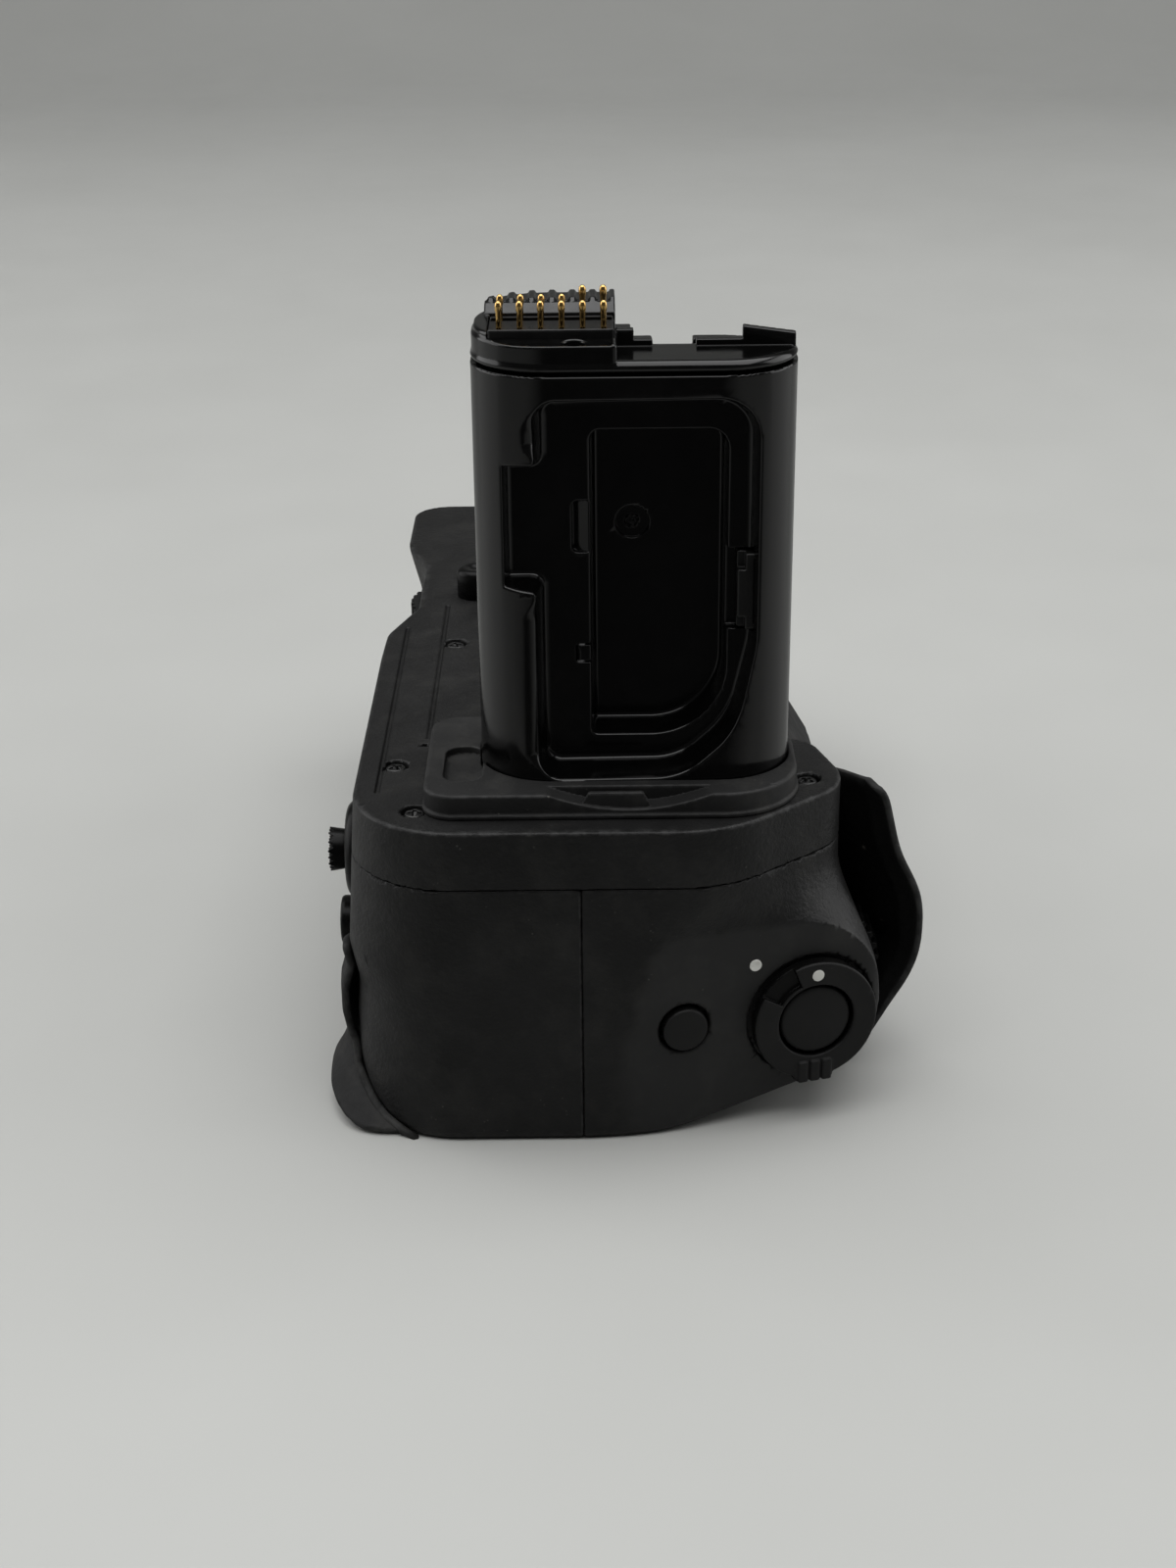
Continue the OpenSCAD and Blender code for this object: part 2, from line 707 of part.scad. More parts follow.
module pin_block() color("#202122") difference() {
    union() {
        block_bar(block_x1 - 0.1, cap_high - 0.6);
        block_bar(block_x0 + 0.9, bank_high + 0.2);
    }
    for (row = [0, 1])
        for (i = [0 : pin_count - 1])
            rod_z(seam_z, seam_z + bank_high, row_x + row * row_gap, row_y0 + i * pin_pitch,
                pin_radius(row, i) + axle_play);
}

// One pin is a straight stem with a rounded tip
module contact_pins() color("#c9a04a")
    for (row = [0, 1])
        for (i = [0 : pin_count - 1])
            let (r = pin_radius(row, i), top = seam_z + pin_h + (is_long(row, i) ? long_pin : 0))
            translate([row_x + row * row_gap, row_y0 + i * pin_pitch, 0])
                union() {
                    rod_z(pin_foot, top - r, 0, 0, r);
                    translate([0, 0, top - r]) sphere(r);
                }

module flex_cable() color("#a5622c")
    translate([0, flex_y0 + flex_w, 0]) rotate([90, 0, 0]) linear_extrude(flex_w) polygon([
        [flex_x, seam_z],
        [flex_x - flex_t, seam_z],
        [flex_x - flex_t, chassis_z + board_t],
        [flex_x + 8, chassis_z + board_t],
        [flex_x + 8, chassis_z + board_t + flex_t],
        [flex_x, chassis_z + board_t + flex_t]]);

// One screw has a flush head with a cross recess
module cover_screws() color("#3c3d3f")
    for (p = screw_places)
        translate([p.x, p.y, 0]) difference() {
            union() {
                rod_z(plate_z - screw_head_t, plate_z - 0.1, 0, 0, screw_head_r);
                rod_z(plate_z - screw_len, plate_z - screw_head_t, 0, 0, screw_shank_r);
            }
            for (turn = [0, 90])
                rotate(turn) box([-1, -0.2, plate_z - 0.7], [1, 0.2, plate_z + past]);
        }

boss_h = 4.6;
boss_r = 3.2;
boss_edge = 0.7;
boss_x = near_x + 90;
boss_y = back_y - 12.7;

module locating_boss() color("#1c1d1e") {
    rod_z(plate_z, plate_z + boss_h - boss_edge, boss_x, boss_y, boss_r);
    translate([boss_x, boss_y, plate_z + boss_h - boss_edge])
        cylinder(h = boss_edge, r1 = boss_r, r2 = boss_r - boss_edge);
}

// Tripod socket and the camera attachment

module tripod_bush() color("#b9babc") difference() {
    union() {
        rod_z(0, socket_h, 0, 0, bush_r);
        rod_z(wall, wall + 1.2, 0, 0, bush_r + 2);
    }
    rod_z(-past, socket_h + past, 0, 0, socket_r);
}

module chassis_plate() color("#8d8f92") difference() {
    box([flex_x + 3, bay_y - pack_w / 2, chamber_top], [door_x - 3, bay_y + pack_w / 2, chassis_z]);
    rod_z(chamber_top - past, chassis_z + past, 0, 0, shaft_r + axle_play);
    rod_z(chamber_top - past, chassis_z + past, wheel_x, wheel_y, axle_r + axle_play / 2);
}

module screw_bush() color("#9a9b9d") difference() {
    union() {
        rod_z(bush_z, ceil_z, 0, 0, 2 * screw_r + 1.4);
        rod_z(ceil_z, plate_z, 0, 0, 2 * screw_r - axle_play);
    }
    rod_z(bush_z - past, plate_z + past, 0, 0, screw_r + axle_play);
}

module mounting_screw() color("#c4c5c7") {
    rod_z(chamber_top + 0.1, plate_z, 0, 0, shaft_r);
    rod_z(plate_z, plate_z + screw_h, 0, 0, screw_r);
    rod_z(bush_z - 2, bush_z - play, 0, 0, 2 * screw_r);
}

module screw_gear() color("#a88f5a") translate([0, 0, gear_z])
    difference() {
        linear_extrude(gear_t)
            teeth(screw_teeth, screw_pitch_r - tooth_ded, screw_pitch_r + tooth_add, 0.22, 0.1, mesh_angle);
        translate([0, 0, -past]) cylinder(h = gear_t + 2 * past, r = shaft_r);
    }

module attachment_wheel() color("#232425") translate([wheel_x, wheel_y, 0]) difference() {
    union() {
        rod_z(chassis_z + 0.2, gear_z, 0, 0, 4);
        translate([0, 0, gear_z - 0.1]) linear_extrude(gear_t + 0.4)
            teeth(wheel_teeth, wheel_pitch_r - tooth_ded, wheel_pitch_r + tooth_add, 0.22, 0.1,
                mesh_angle + 180 + 180 / wheel_teeth);
        rod_z(gear_z + gear_t, rim_z, 0, 0, wheel_pitch_r - 1);
        translate([0, 0, rim_z]) linear_extrude(rim_t)
            teeth(42, wheel_r - 0.5, wheel_r, 0.36, 0.2);
    }
    rod_z(chassis_z, plate_z, 0, 0, axle_r + axle_play);
}

module wheel_axle() color("#c4c5c7") rod_z(chamber_top, ceil_z, wheel_x, wheel_y, axle_r);

module main_board() color("#2f5a3c")
    box([flex_x + 4.3, bay_y - 17, chassis_z], [posts[0].x - post_r - 1, bay_y + 17, chassis_z + board_t]);

// Battery chamber, tray and packs

module battery_chamber() color("#1f2021") difference() {
    box([chamber_x0, bay_y - chamber_w / 2, chamber_z], [chamber_x1, bay_y + chamber_w / 2, chamber_top]);
    box([bay_x0, bay_y - bay_w / 2, tray_z - play],
        [chamber_x1 + past, bay_y + bay_w / 2, chamber_top - chamber_wall]);
}

module chamber_contacts() color("#c9a04a")
    for (i = [-1 : 1])
        translate([bay_x0, bay_y + 8 + 5 * i, pack_z + 6]) cube([0.45, 2.4, 8]);

module battery_tray() color("#26272a") {
    half = tray_w / 2;
    side_h = 0.7 * pack_t;
    box([tray_x0, bay_y - half, tray_z], [door_x, bay_y + half, pack_z]);
    for (y = [bay_y - half, bay_y + half - chamber_wall])
        box([tray_x0, y, tray_z], [door_x, y + chamber_wall, pack_z + side_h]);
    box([tray_x0, bay_y - half, tray_z], [tray_x0 + chamber_wall, bay_y + half, pack_z + 5]);
}

knob_sink = 1.5;
knob_z = (chamber_z + chamber_top) / 2;

module tray_door() color("#2b2c2e") difference() {
    box([door_x, bay_y - chamber_w / 2, chamber_z], [far_x, bay_y + chamber_w / 2, chamber_top]);
    rod_x(far_x - knob_sink - play, far_x + past, bay_y, knob_z, knob_r + play);
    rod_x(door_x - past, far_x, bay_y, knob_z, 2 + axle_play);
}

module pack(x0) color("#4a4b4e") difference() {
    box([x0, bay_y - pack_w / 2, pack_z], [x0 + pack_l, bay_y + pack_w / 2, pack_z + pack_t]);
    for (i = [-1 : 1])
        translate([x0 - past, bay_y + 8 + 5 * i, pack_z + 4]) cube([past + 1.5, 2, 12]);
}

module near_pack() pack(pack_x0);
module far_pack() pack(pack_x0 + pack_l + pack_gap);

knob_bar_h = 1.4;

module latch_knob() color("#333437") {
    rod_x(far_x - knob_sink, far_x, bay_y, knob_z, knob_r);
    rod_x(door_x - cam_gap + 0.2, far_x - knob_sink, bay_y, knob_z, 2);
    box([far_x, bay_y - 1.2, knob_z - knob_r + 1], [far_x + knob_bar_h, bay_y + 1.2, knob_z + knob_r - 1]);
}

module latch_cam() color("#b9babc") difference() {
    box([door_x - cam_gap + 0.2, bay_y - 3, knob_z - 3], [door_x - 0.2, bay_y + 3, knob_z + 8]);
    rod_x(door_x - cam_gap - past, door_x + past, bay_y, knob_z, 2);
}

// Shutter button, lock ring and function button

module shutter_button() color("#1a1b1c") {
    panel_rod(ring_u, shutter_z, -3, ring_face - 0.5, shutter_r);
    on_panel(ring_u, shutter_z) translate([0, 0, ring_face - 0.5])
        cylinder(h = 0.5, r1 = shutter_r, r2 = shutter_r - 0.9);
    panel_rod(ring_u, shutter_z, switch_top + shutter_travel + play, -3, 1.5);
}

tab_w = 5.3;
tab_reach = 1.8;

module lock_ring() color("#1f2021") on_panel(ring_u, shutter_z) difference() {
    union() {
        rod_z(0.15, ring_face - 0.5, 0, 0, ring_r);
        translate([0, 0, ring_face - 0.5]) cylinder(h = 0.5, r1 = ring_r, r2 = ring_r - 0.6);
        rod_z(-wall - 1.4, 0.15, 0, 0, ring_hub);
        box([-tab_w / 2, -ring_r - tab_reach, 0.3], [tab_w / 2, -ring_r + 1, ring_face + 0.3]);
        for (i = [-1 : 1])
            box([1.7 * i - 0.4, -ring_r - tab_reach, 0.3], [1.7 * i + 0.4, -ring_r + 1.4, ring_face + 0.8]);
    }
    rod_z(-wall - 2, ring_face + 2, 0, 0, ring_bore);
    rod_z(ring_face - mark_t, ring_face + past, 0, ring_mark_v, mark_r);
}

module ring_mark() color("#e8e6de") on_panel(ring_u, shutter_z)
    rod_z(ring_face - mark_t, ring_face + 0.02, 0, ring_mark_v, mark_r);

module ring_clip() color("#b9babc") on_panel(ring_u, shutter_z) difference() {
    rod_z(-wall - 1.1, -wall - play, 0, 0, ring_hub + 1.4);
    rod_z(-wall - 2, -wall, 0, 0, ring_hub);
}

module panel_mark() color("#e8e6de")
    panel_rod(panel_mark_u, panel_mark_z, -mark_t, 0.02, mark_r);

module function_button() color("#1a1b1c") {
    panel_rod(func_u, func_z, -wall - 1.3, 0.5, func_r);
    on_panel(func_u, func_z) translate([0, 0, 0.5]) cylinder(h = 0.4, r1 = func_r, r2 = func_r - 0.7);
    panel_rod(func_u, func_z, -wall - 1.3, -wall - play, func_hole + 0.8);
    panel_rod(func_u, func_z, switch_top + button_travel + play, -wall - 1.3, 1.2);
}

module panel_board() color("#2f5a3c") on_panel(0, 0)
    box([1.5, panel_board_v[0], panel_board_w], [ring_u + 3.4, panel_board_v[1], panel_board_w + board_t]);

module panel_switches() color("#b9babc") {
    panel_rod(ring_u, shutter_z, panel_board_w + board_t, switch_top, 3);
    panel_rod(func_u, func_z, panel_board_w + board_t, switch_top, 2.4);
}

// Command dials

module dial(x, y, z, r, count) difference() {
    translate([x - dial_t / 2, y, z]) rotate([0, 90, 0]) linear_extrude(dial_t)
        teeth(count, r - 0.7, r, 0.34, 0.2);
    rod_x(x - dial_t, x + dial_t, y, z, dial_axle_r + axle_play);
}

module dial_axle(x, y, z)
    rod_x(x - dial_t / 2 - play - ear_t, x + dial_t / 2 + play + ear_t, y, z, dial_axle_r);

module front_dial() color("#1c1d1e") dial(front_dial_x, front_dial_y, front_dial_z, front_dial_r, 26);
module front_dial_axle() color("#b9babc") dial_axle(front_dial_x, front_dial_y, front_dial_z);
module rear_dial() color("#1c1d1e") dial(rear_dial_x, rear_dial_y, rear_dial_z, rear_dial_r, 18);
module rear_dial_axle() color("#b9babc") dial_axle(rear_dial_x, rear_dial_y, rear_dial_z);

// Joystick: a knurled stick in a gimbal, on a carrier that can be pressed

module stick_boot() color("#202122") translate([stick_x, back_y, stick_z]) rotate([-90, 0, 0])
    rotate_extrude() polygon([
        [crater_r, 0],
        [boot_r, 0],
        [boot_r, boot_h - 2.2],
        [boot_r - 0.5, boot_h - 1],
        [boot_r - 1.6, boot_h - 0.2],
        [crater_r + 0.6, boot_h],
        [crater_r, boot_h - 0.4]]);

module stick_housing() color("#8d8f92") translate([stick_x, 0, stick_z]) difference() {
    half = housing_w / 2;
    box([-half, housing_y, -half], [half, rear_inner, half]);
    box([-half + housing_wall, housing_y + housing_wall, -half + housing_wall],
        [half - housing_wall, rear_inner + past, half - housing_wall]);
}

gimbal_r = 3.7;
gimbal_bore = 2.5;
gimbal_t = 1.6;
gimbal_pin = 0.5;

module stick_carrier() color("#55575a") translate([stick_x, 0, stick_z]) difference() {
    half = carrier_w / 2;
    union() {
        box([-half, carrier_y, -half], [half, carrier_y + carrier_t, half]);
        for (side = [-1, 1])
            translate([side * (half - 0.4), 0, 0]) box([-0.4, carrier_y, -1.5], [0.4, pivot_y + 1.2, 1.5]);
    }
    rod_x(-half - past, half + past, pivot_y, 0, gimbal_pin + axle_play);
}

module stick_gimbal() color("#b9babc") translate([stick_x, pivot_y, stick_z]) {
    half = carrier_w / 2;
    difference() {
        rod_y(-gimbal_t / 2, gimbal_t / 2, 0, 0, gimbal_r);
        rod_y(-gimbal_t, gimbal_t, 0, 0, gimbal_bore);
        rod_z(-gimbal_r - past, gimbal_r + past, 0, 0, gimbal_pin + axle_play);
    }
    rod_x(-half, -gimbal_bore - 0.3, 0, 0, gimbal_pin);
    rod_x(gimbal_bore + 0.3, half, 0, 0, gimbal_pin);
}

// The cap stays clear of the boot when it is tilted and pressed
cap_y = back_y + boot_h + 0.8;
stick_knurl = 1.3;
stick_ball = 1.3;

module stick_stem() color("#9a9b9d") translate([stick_x, 0, stick_z]) {
    translate([0, pivot_y, 0]) sphere(stick_ball);
    rod_y(pivot_y, cap_y, 0, 0, 1.1);
    translate([0, pivot_y, 0]) rod_z(-gimbal_r + 0.2, gimbal_r - 0.2, 0, 0, gimbal_pin);
}

module stick() color("#1a1b1c") translate([stick_x, cap_y, stick_z]) rotate([-90, 0, 0]) {
    linear_extrude(stick_knurl) teeth(24, stick_r - 0.35, stick_r, 0.34, 0.18);
    translate([0, 0, stick_knurl]) cylinder(h = 0.4, r1 = stick_r - 0.4, r2 = stick_r - 0.9);
}

focus_top = back_y + 4;
focus_switch_y = housing_y + 2.3;

module focus_button() color("#1a1b1c") {
    rod_y(rear_inner - play - 1.1, focus_top - 0.5, stick_x, focus_z, focus_r);
    translate([stick_x, focus_top - 0.5, focus_z]) rotate([-90, 0, 0])
        cylinder(h = 0.5, r1 = focus_r, r2 = focus_r - 0.6);
    rod_y(rear_inner - play - 1.1, rear_inner - play, stick_x, focus_z, focus_r + 0.8);
    rod_y(focus_switch_y + button_travel + 0.2, rear_inner - play - 1.1, stick_x, focus_z, 1.2);
}

module rear_board() color("#2f5a3c")
    box([stick_x - 9.5, rear_board_y, stick_z - 17], [stick_x + 9.5, housing_y, stick_z + 7.6]);

module focus_switch() color("#b9babc") rod_y(housing_y, focus_switch_y, stick_x, focus_z, 2.4);

// Rubber skins: closed sheets that follow the covers and stand off where they have peeled

skin_gap = 0.25;
skin_top = line_z + 6.5;
foot_share = 0.35;
skin_foot = heel_z * (1 - foot_share);

function mix(a, b, share) = a + (b - a) * share;

// Section of the front skin, off its seat by d, from its top edge to its bottom edge.
// A share of 1 follows the lobe's section and a share of 0 the main section.
function front_line(d, share) =
    let (
        top_y = -mix(front_y + 0.6, lobe_y, share),
        corners = [
            [top_y, skin_top, 0],
            [top_y, mix(35, 36, share), 0],
            [-hold_y, mix(21, 20, share), 0],
            [-hold_y, 10.5, 0],
            [heel_y, heel_z, 0],
            [mix(heel_y, -foot_front, foot_share), skin_foot, 0],
            [0, skin_foot, 0],
            [0, skin_top, 0]],
        moved = inset(corners, -d)
    )
    [for (i = [0 : 5]) [moved[i].x, min(skin_top, max(skin_foot - d / 2, moved[i].y))]];

// Stations along the front skin: place along the body and stand-off there as a share of the peel
front_stations = [
    [taper_x - 10, 0],
    [shoulder_end, 0],
    [lobe_end, 0.1],
    [lobe_end - 5, 0.2],
    [lobe_end - 9, 0.55],
    [lobe_end - 12, 0.85],
    [lobe_end - 14, 1]];

function lobe_share(x) = max(0, min(1, (shoulder_end - x) / 16));

function front_grid(d) =
    [for (s = front_stations)
        [for (p = front_line(d + skin_gap + s.y * peel, lobe_share(s.x))) [s.x, p.x, p.y]]];

module grip_skin() color("#26272a") sheet(front_grid(skin_t), front_grid(0));

// Plan of the thumb skin along the rear corner: angle round the corner, or distance along the rear face
thumb_top = 21;
thumb_lift = 0.35;
corner_centre = [near_x + corner_r, back_y - corner_r];
thumb_turns = [20, 40, 60, 80];
thumb_runs = [4, 14, 26];

function thumb_dir(i) = i < len(thumb_turns) ? [-cos(thumb_turns[i]), sin(thumb_turns[i])] : [0, 1];
function thumb_base(i) =
    i < len(thumb_turns) ? corner_centre + corner_r * thumb_dir(i)
    : [corner_centre.x + thumb_runs[i - len(thumb_turns)], back_y];
thumb_rows = len(thumb_turns) + len(thumb_runs);
function thumb_flare(i) = flare * (i < len(thumb_turns) ? 1 : 1 - 0.45 * (i - len(thumb_turns)));

// The skin is low under the focus button, and reaches higher round the corner
thumb_low = focus_z - focus_r - 1.2;
function thumb_height(i) = i <= len(thumb_turns) ? thumb_top : thumb_low;

// Heights down the skin and how far it stands off there, as a share of the flare
thumb_drop = [[1, 0.06], [0.75, 0.5], [0.5, 0.42], [0.22, 0.78], [0.02, 1]];

function thumb_grid(d) =
    [for (i = [0 : thumb_rows - 1])
        [for (k = thumb_drop)
            let (p = thumb_base(i) + thumb_dir(i) * (thumb_lift + max(0, k.y * thumb_flare(i)) + d))
            [p.x, p.y, 0.1 + k.x * thumb_height(i)]]];

module thumb_skin() color("#26272a") sheet(thumb_grid(skin_t), thumb_grid(0));

top_cover();
rear_cover();
front_cover();
collar_seal();
tower_front();
tower_shell();
tower_cap();
pin_block();
pin_board();
contact_pins();
flex_cable();
door_catch();
cover_screws();
locating_boss();
tripod_bush();
chassis_plate();
screw_bush();
mounting_screw();
screw_gear();
attachment_wheel();
wheel_axle();
main_board();
battery_chamber();
chamber_contacts();
battery_tray();
tray_door();
near_pack();
far_pack();
latch_knob();
latch_cam();
shutter_button();
lock_ring();
ring_clip();
ring_mark();
panel_mark();
function_button();
panel_board();
panel_switches();
front_dial();
front_dial_axle();
rear_dial();
rear_dial_axle();
stick_boot();
stick_housing();
stick_carrier();
stick_gimbal();
stick_stem();
stick();
focus_button();
rear_board();
focus_switch();
grip_skin();
thumb_skin();
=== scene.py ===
"""Camera battery grip with its peeling rubber skins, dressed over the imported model.

Pieces are written as forms: a form gives, in millimetres, how far a point lies outside a shape,
and is negative inside it. A form is sampled on a grid, meshed, and its points are then moved
onto the shape itself, so that edges and mouldings come out clean.
"""
import json
import math

import bpy
import numpy as np
import openvdb
from mathutils import Matrix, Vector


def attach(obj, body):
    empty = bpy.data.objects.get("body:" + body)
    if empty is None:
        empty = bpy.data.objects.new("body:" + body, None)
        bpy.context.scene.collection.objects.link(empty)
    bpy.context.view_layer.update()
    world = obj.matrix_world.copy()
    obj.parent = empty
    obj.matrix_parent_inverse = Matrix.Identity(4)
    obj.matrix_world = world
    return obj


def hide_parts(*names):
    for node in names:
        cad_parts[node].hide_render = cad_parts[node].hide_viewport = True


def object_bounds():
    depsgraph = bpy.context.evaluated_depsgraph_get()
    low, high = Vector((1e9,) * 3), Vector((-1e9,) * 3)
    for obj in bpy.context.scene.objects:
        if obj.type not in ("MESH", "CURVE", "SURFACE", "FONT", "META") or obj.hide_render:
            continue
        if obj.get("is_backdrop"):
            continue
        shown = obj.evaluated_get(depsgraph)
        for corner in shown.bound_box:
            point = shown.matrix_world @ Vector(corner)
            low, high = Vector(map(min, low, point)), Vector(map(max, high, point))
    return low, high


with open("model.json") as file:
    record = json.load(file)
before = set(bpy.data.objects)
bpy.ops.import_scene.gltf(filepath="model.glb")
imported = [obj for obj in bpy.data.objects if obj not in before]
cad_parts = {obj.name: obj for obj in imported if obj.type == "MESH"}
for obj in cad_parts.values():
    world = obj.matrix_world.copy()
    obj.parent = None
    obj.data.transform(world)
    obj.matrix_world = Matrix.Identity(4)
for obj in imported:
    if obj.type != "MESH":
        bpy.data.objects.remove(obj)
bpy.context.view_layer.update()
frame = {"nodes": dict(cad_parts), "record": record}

MM = 0.001


# Forms

def both(a, b, r=0.0):
    """Common part of two forms, with its outer edge rounded by r."""
    return np.minimum(np.maximum(a, b), -r) + np.hypot(np.maximum(a + r, 0), np.maximum(b + r, 0))


def either(a, b, r=0.0):
    """Two forms joined, with the inner edge filled by r."""
    return np.maximum(np.minimum(a, b), r) - np.hypot(np.maximum(r - a, 0), np.maximum(r - b, 0))


def less(a, b, r=0.0):
    """The first form with the second cut out of it."""
    return both(a, -b, r)


def softly(a, b, width):
    """Common part of two forms that meet at a shallow angle, eased over the given width."""
    overlap = np.maximum(width - np.abs(a - b), 0)
    return np.maximum(a, b) + overlap * overlap / (4 * width)


def ease(start, end, t):
    """Smooth step from 0 at start to 1 at end."""
    s = np.clip((t - start) / (end - start), 0, 1)
    return s * s * (3 - 2 * s)


def between(low, high, t):
    """Slab between two values."""
    return np.abs(t - (low + high) / 2) - (high - low) / 2


def block(u, v, low_u, high_u, low_v, high_v, r=0.0):
    """Rectangle with rounded corners."""
    return both(between(low_u, high_u, u), between(low_v, high_v, v), r)


def brick(x, y, z, low, high, r=0.0):
    """Box with rounded edges, from its low corner to its high corner."""
    flat = block(x, y, low[0], high[0], low[1], high[1], r)
    return both(flat, between(low[2], high[2], z), r)


def disc(u, v, cu, cv, r):
    """Round bar seen from its end."""
    return np.hypot(u - cu, v - cv) - r


def outline(u, v, corners):
    """Closed outline of corners (u, v, radius), with true arcs at its corners."""
    points = np.array([c[:2] for c in corners], float)
    radii = np.maximum([c[2] for c in corners], 0.02)
    ahead = np.roll(points, -1, axis=0)
    if (points[:, 0] * ahead[:, 1] - ahead[:, 0] * points[:, 1]).sum() < 0:
        points, radii = points[::-1], radii[::-1]
    best = np.full(np.broadcast(u, v).shape, 1e6)
    starts, ends = [], []
    for i, (q, r) in enumerate(zip(points, radii)):
        back = points[i - 1] - q
        on = points[(i + 1) % len(points)] - q
        back, on = back / np.linalg.norm(back), on / np.linalg.norm(on)
        half = math.acos(np.clip(back @ on, -1, 1)) / 2
        middle = (back + on) / np.linalg.norm(back + on)
        centre = q + middle * r / math.sin(half)
        starts.append(q + back * r / math.tan(half))
        ends.append(q + on * r / math.tan(half))
        turn = np.sign(on[0] * back[1] - on[1] * back[0])
        du, dv = u - centre[0], v - centre[1]
        reach = np.hypot(du, dv)
        inside_arc = -(du * middle[0] + dv * middle[1]) >= (math.sin(half) - 1e-6) * reach
        away = (reach - r) * turn
        best = np.where(inside_arc & (np.abs(away) < np.abs(best)), away, best)
    for i, start in enumerate(ends):
        run = starts[(i + 1) % len(starts)] - start
        length = np.linalg.norm(run)
        if length < 1e-6:
            continue
        run = run / length
        du, dv = u - start[0], v - start[1]
        along = du * run[0] + dv * run[1]
        away = du * run[1] - dv * run[0]
        on_run = (along >= -1e-6) & (along <= length + 1e-6)
        best = np.where(on_run & (np.abs(away) < np.abs(best)), away, best)
    return best


def ribbed(u, v, r, count, depth, share=0.5):
    """Round bar whose edge has rounded ribs."""
    angle = np.arctan2(v, u) * count / (2 * math.pi)
    place = np.abs(angle - np.round(angle)) * 2
    return np.hypot(u, v) - (r - depth * ease(share - 0.25, share + 0.25, place))


# Meshing

def shape_at(form, p):
    return np.asarray(form(p[:, 0], p[:, 1], p[:, 2]), float)


def slopes(form, p, step):
    """Gradient and bend of a form at points, from their six neighbours."""
    here = shape_at(form, p)
    gradient = np.empty_like(p)
    bend = -6 * here
    for axis in range(3):
        shift = np.zeros(3)
        shift[axis] = step
        ahead, behind = shape_at(form, p + shift), shape_at(form, p - shift)
        gradient[:, axis] = (ahead - behind) / (2 * step)
        bend += ahead + behind
    return here, gradient, bend / step ** 2


def onto(form, p, voxel):
    """Moves points onto the form's surface."""
    for _ in range(3):
        here, gradient, _ = slopes(form, p, 0.02)
        size = np.maximum((gradient ** 2).sum(axis=1), 0.05)
        move = np.clip(here / size, -voxel, voxel)
        p = p - gradient * move[:, None]
    return p


def mesh_object(name, points, faces, normals=None, marks=None):
    """Mesh object from points in millimetres; marks are values that its points carry."""
    mesh = bpy.data.meshes.new(name)
    sizes = np.array([len(f) for f in faces])
    flat = np.concatenate([np.asarray(f) for f in faces])
    mesh.vertices.add(len(points))
    mesh.vertices.foreach_set("co", (points * MM).astype(np.float32).ravel())
    mesh.loops.add(len(flat))
    mesh.loops.foreach_set("vertex_index", flat.astype(np.int32))
    mesh.polygons.add(len(sizes))
    mesh.polygons.foreach_set("loop_start", np.concatenate([[0], np.cumsum(sizes)[:-1]]).astype(np.int32))
    mesh.update(calc_edges=True)
    mesh.validate()
    mesh.shade_smooth()
    if normals is not None and len(mesh.vertices) == len(normals):
        mesh.normals_split_custom_set_from_vertices(normals.astype(np.float32).tolist())
    for key, values in (marks or {}).items():
        attribute = mesh.attributes.new(key, "FLOAT", "POINT")
        attribute.data.foreach_set("value", values.astype(np.float32))
    thing = bpy.data.objects.new(name, mesh)
    bpy.context.scene.collection.objects.link(thing)
    return thing


def surface(form, low, high, voxel, merge):
    """Points, faces, normals and bend of a form inside a box."""
    low = np.array(low, float) - 2.5 * voxel
    counts = np.ceil((np.array(high, float) + 2.5 * voxel - low) / voxel).astype(int) + 1
    x, y, z = (low[i] + voxel * np.arange(counts[i], dtype=np.float32) for i in range(3))
    field = form(x[:, None, None], y[None, :, None], z[None, None, :])
    band = 3 * voxel
    field = np.clip(np.broadcast_to(field, counts), -band, band).astype(np.float32)
    grid = openvdb.FloatGrid(band)
    grid.copyFromArray(np.ascontiguousarray(field))
    points, triangles, quads = grid.convertToPolygons(0.0, merge)
    points = onto(form, low + voxel * points.astype(float), voxel)
    _, gradient, bend = slopes(form, points, 0.35 * voxel)
    normals = gradient / np.maximum(np.linalg.norm(gradient, axis=1), 1e-6)[:, None]
    faces = [f for f in (quads, triangles) if len(f)]
    first = faces[0]
    facing = np.cross(points[first[:, 1]] - points[first[:, 0]], points[first[:, 2]] - points[first[:, 0]])
    if (facing * normals[first[:, 0]]).sum() < 0:
        faces = [f[:, ::-1] for f in faces]
    return points, [row for f in faces for row in f], normals, np.clip(bend * voxel, -2, 2)


def solid(name, form, low, high, voxel, place=None, merge=0.01, paint=None):
    """Mesh object of a form; place takes its points and normals to where they belong."""
    points, faces, normals, bend = surface(form, low, high, voxel, merge)
    marks = {"edge": bend}
    if paint:
        marks.update(paint(points))
    if place:
        points, normals = place(points, normals)
    return mesh_object(name, points, faces, normals, marks)


def joined(name, parts):
    """One object out of several."""
    with bpy.context.temp_override(active_object=parts[0], selected_editable_objects=parts):
        bpy.ops.object.join()
    parts[0].name = name
    parts[0].data.name = name
    return parts[0]


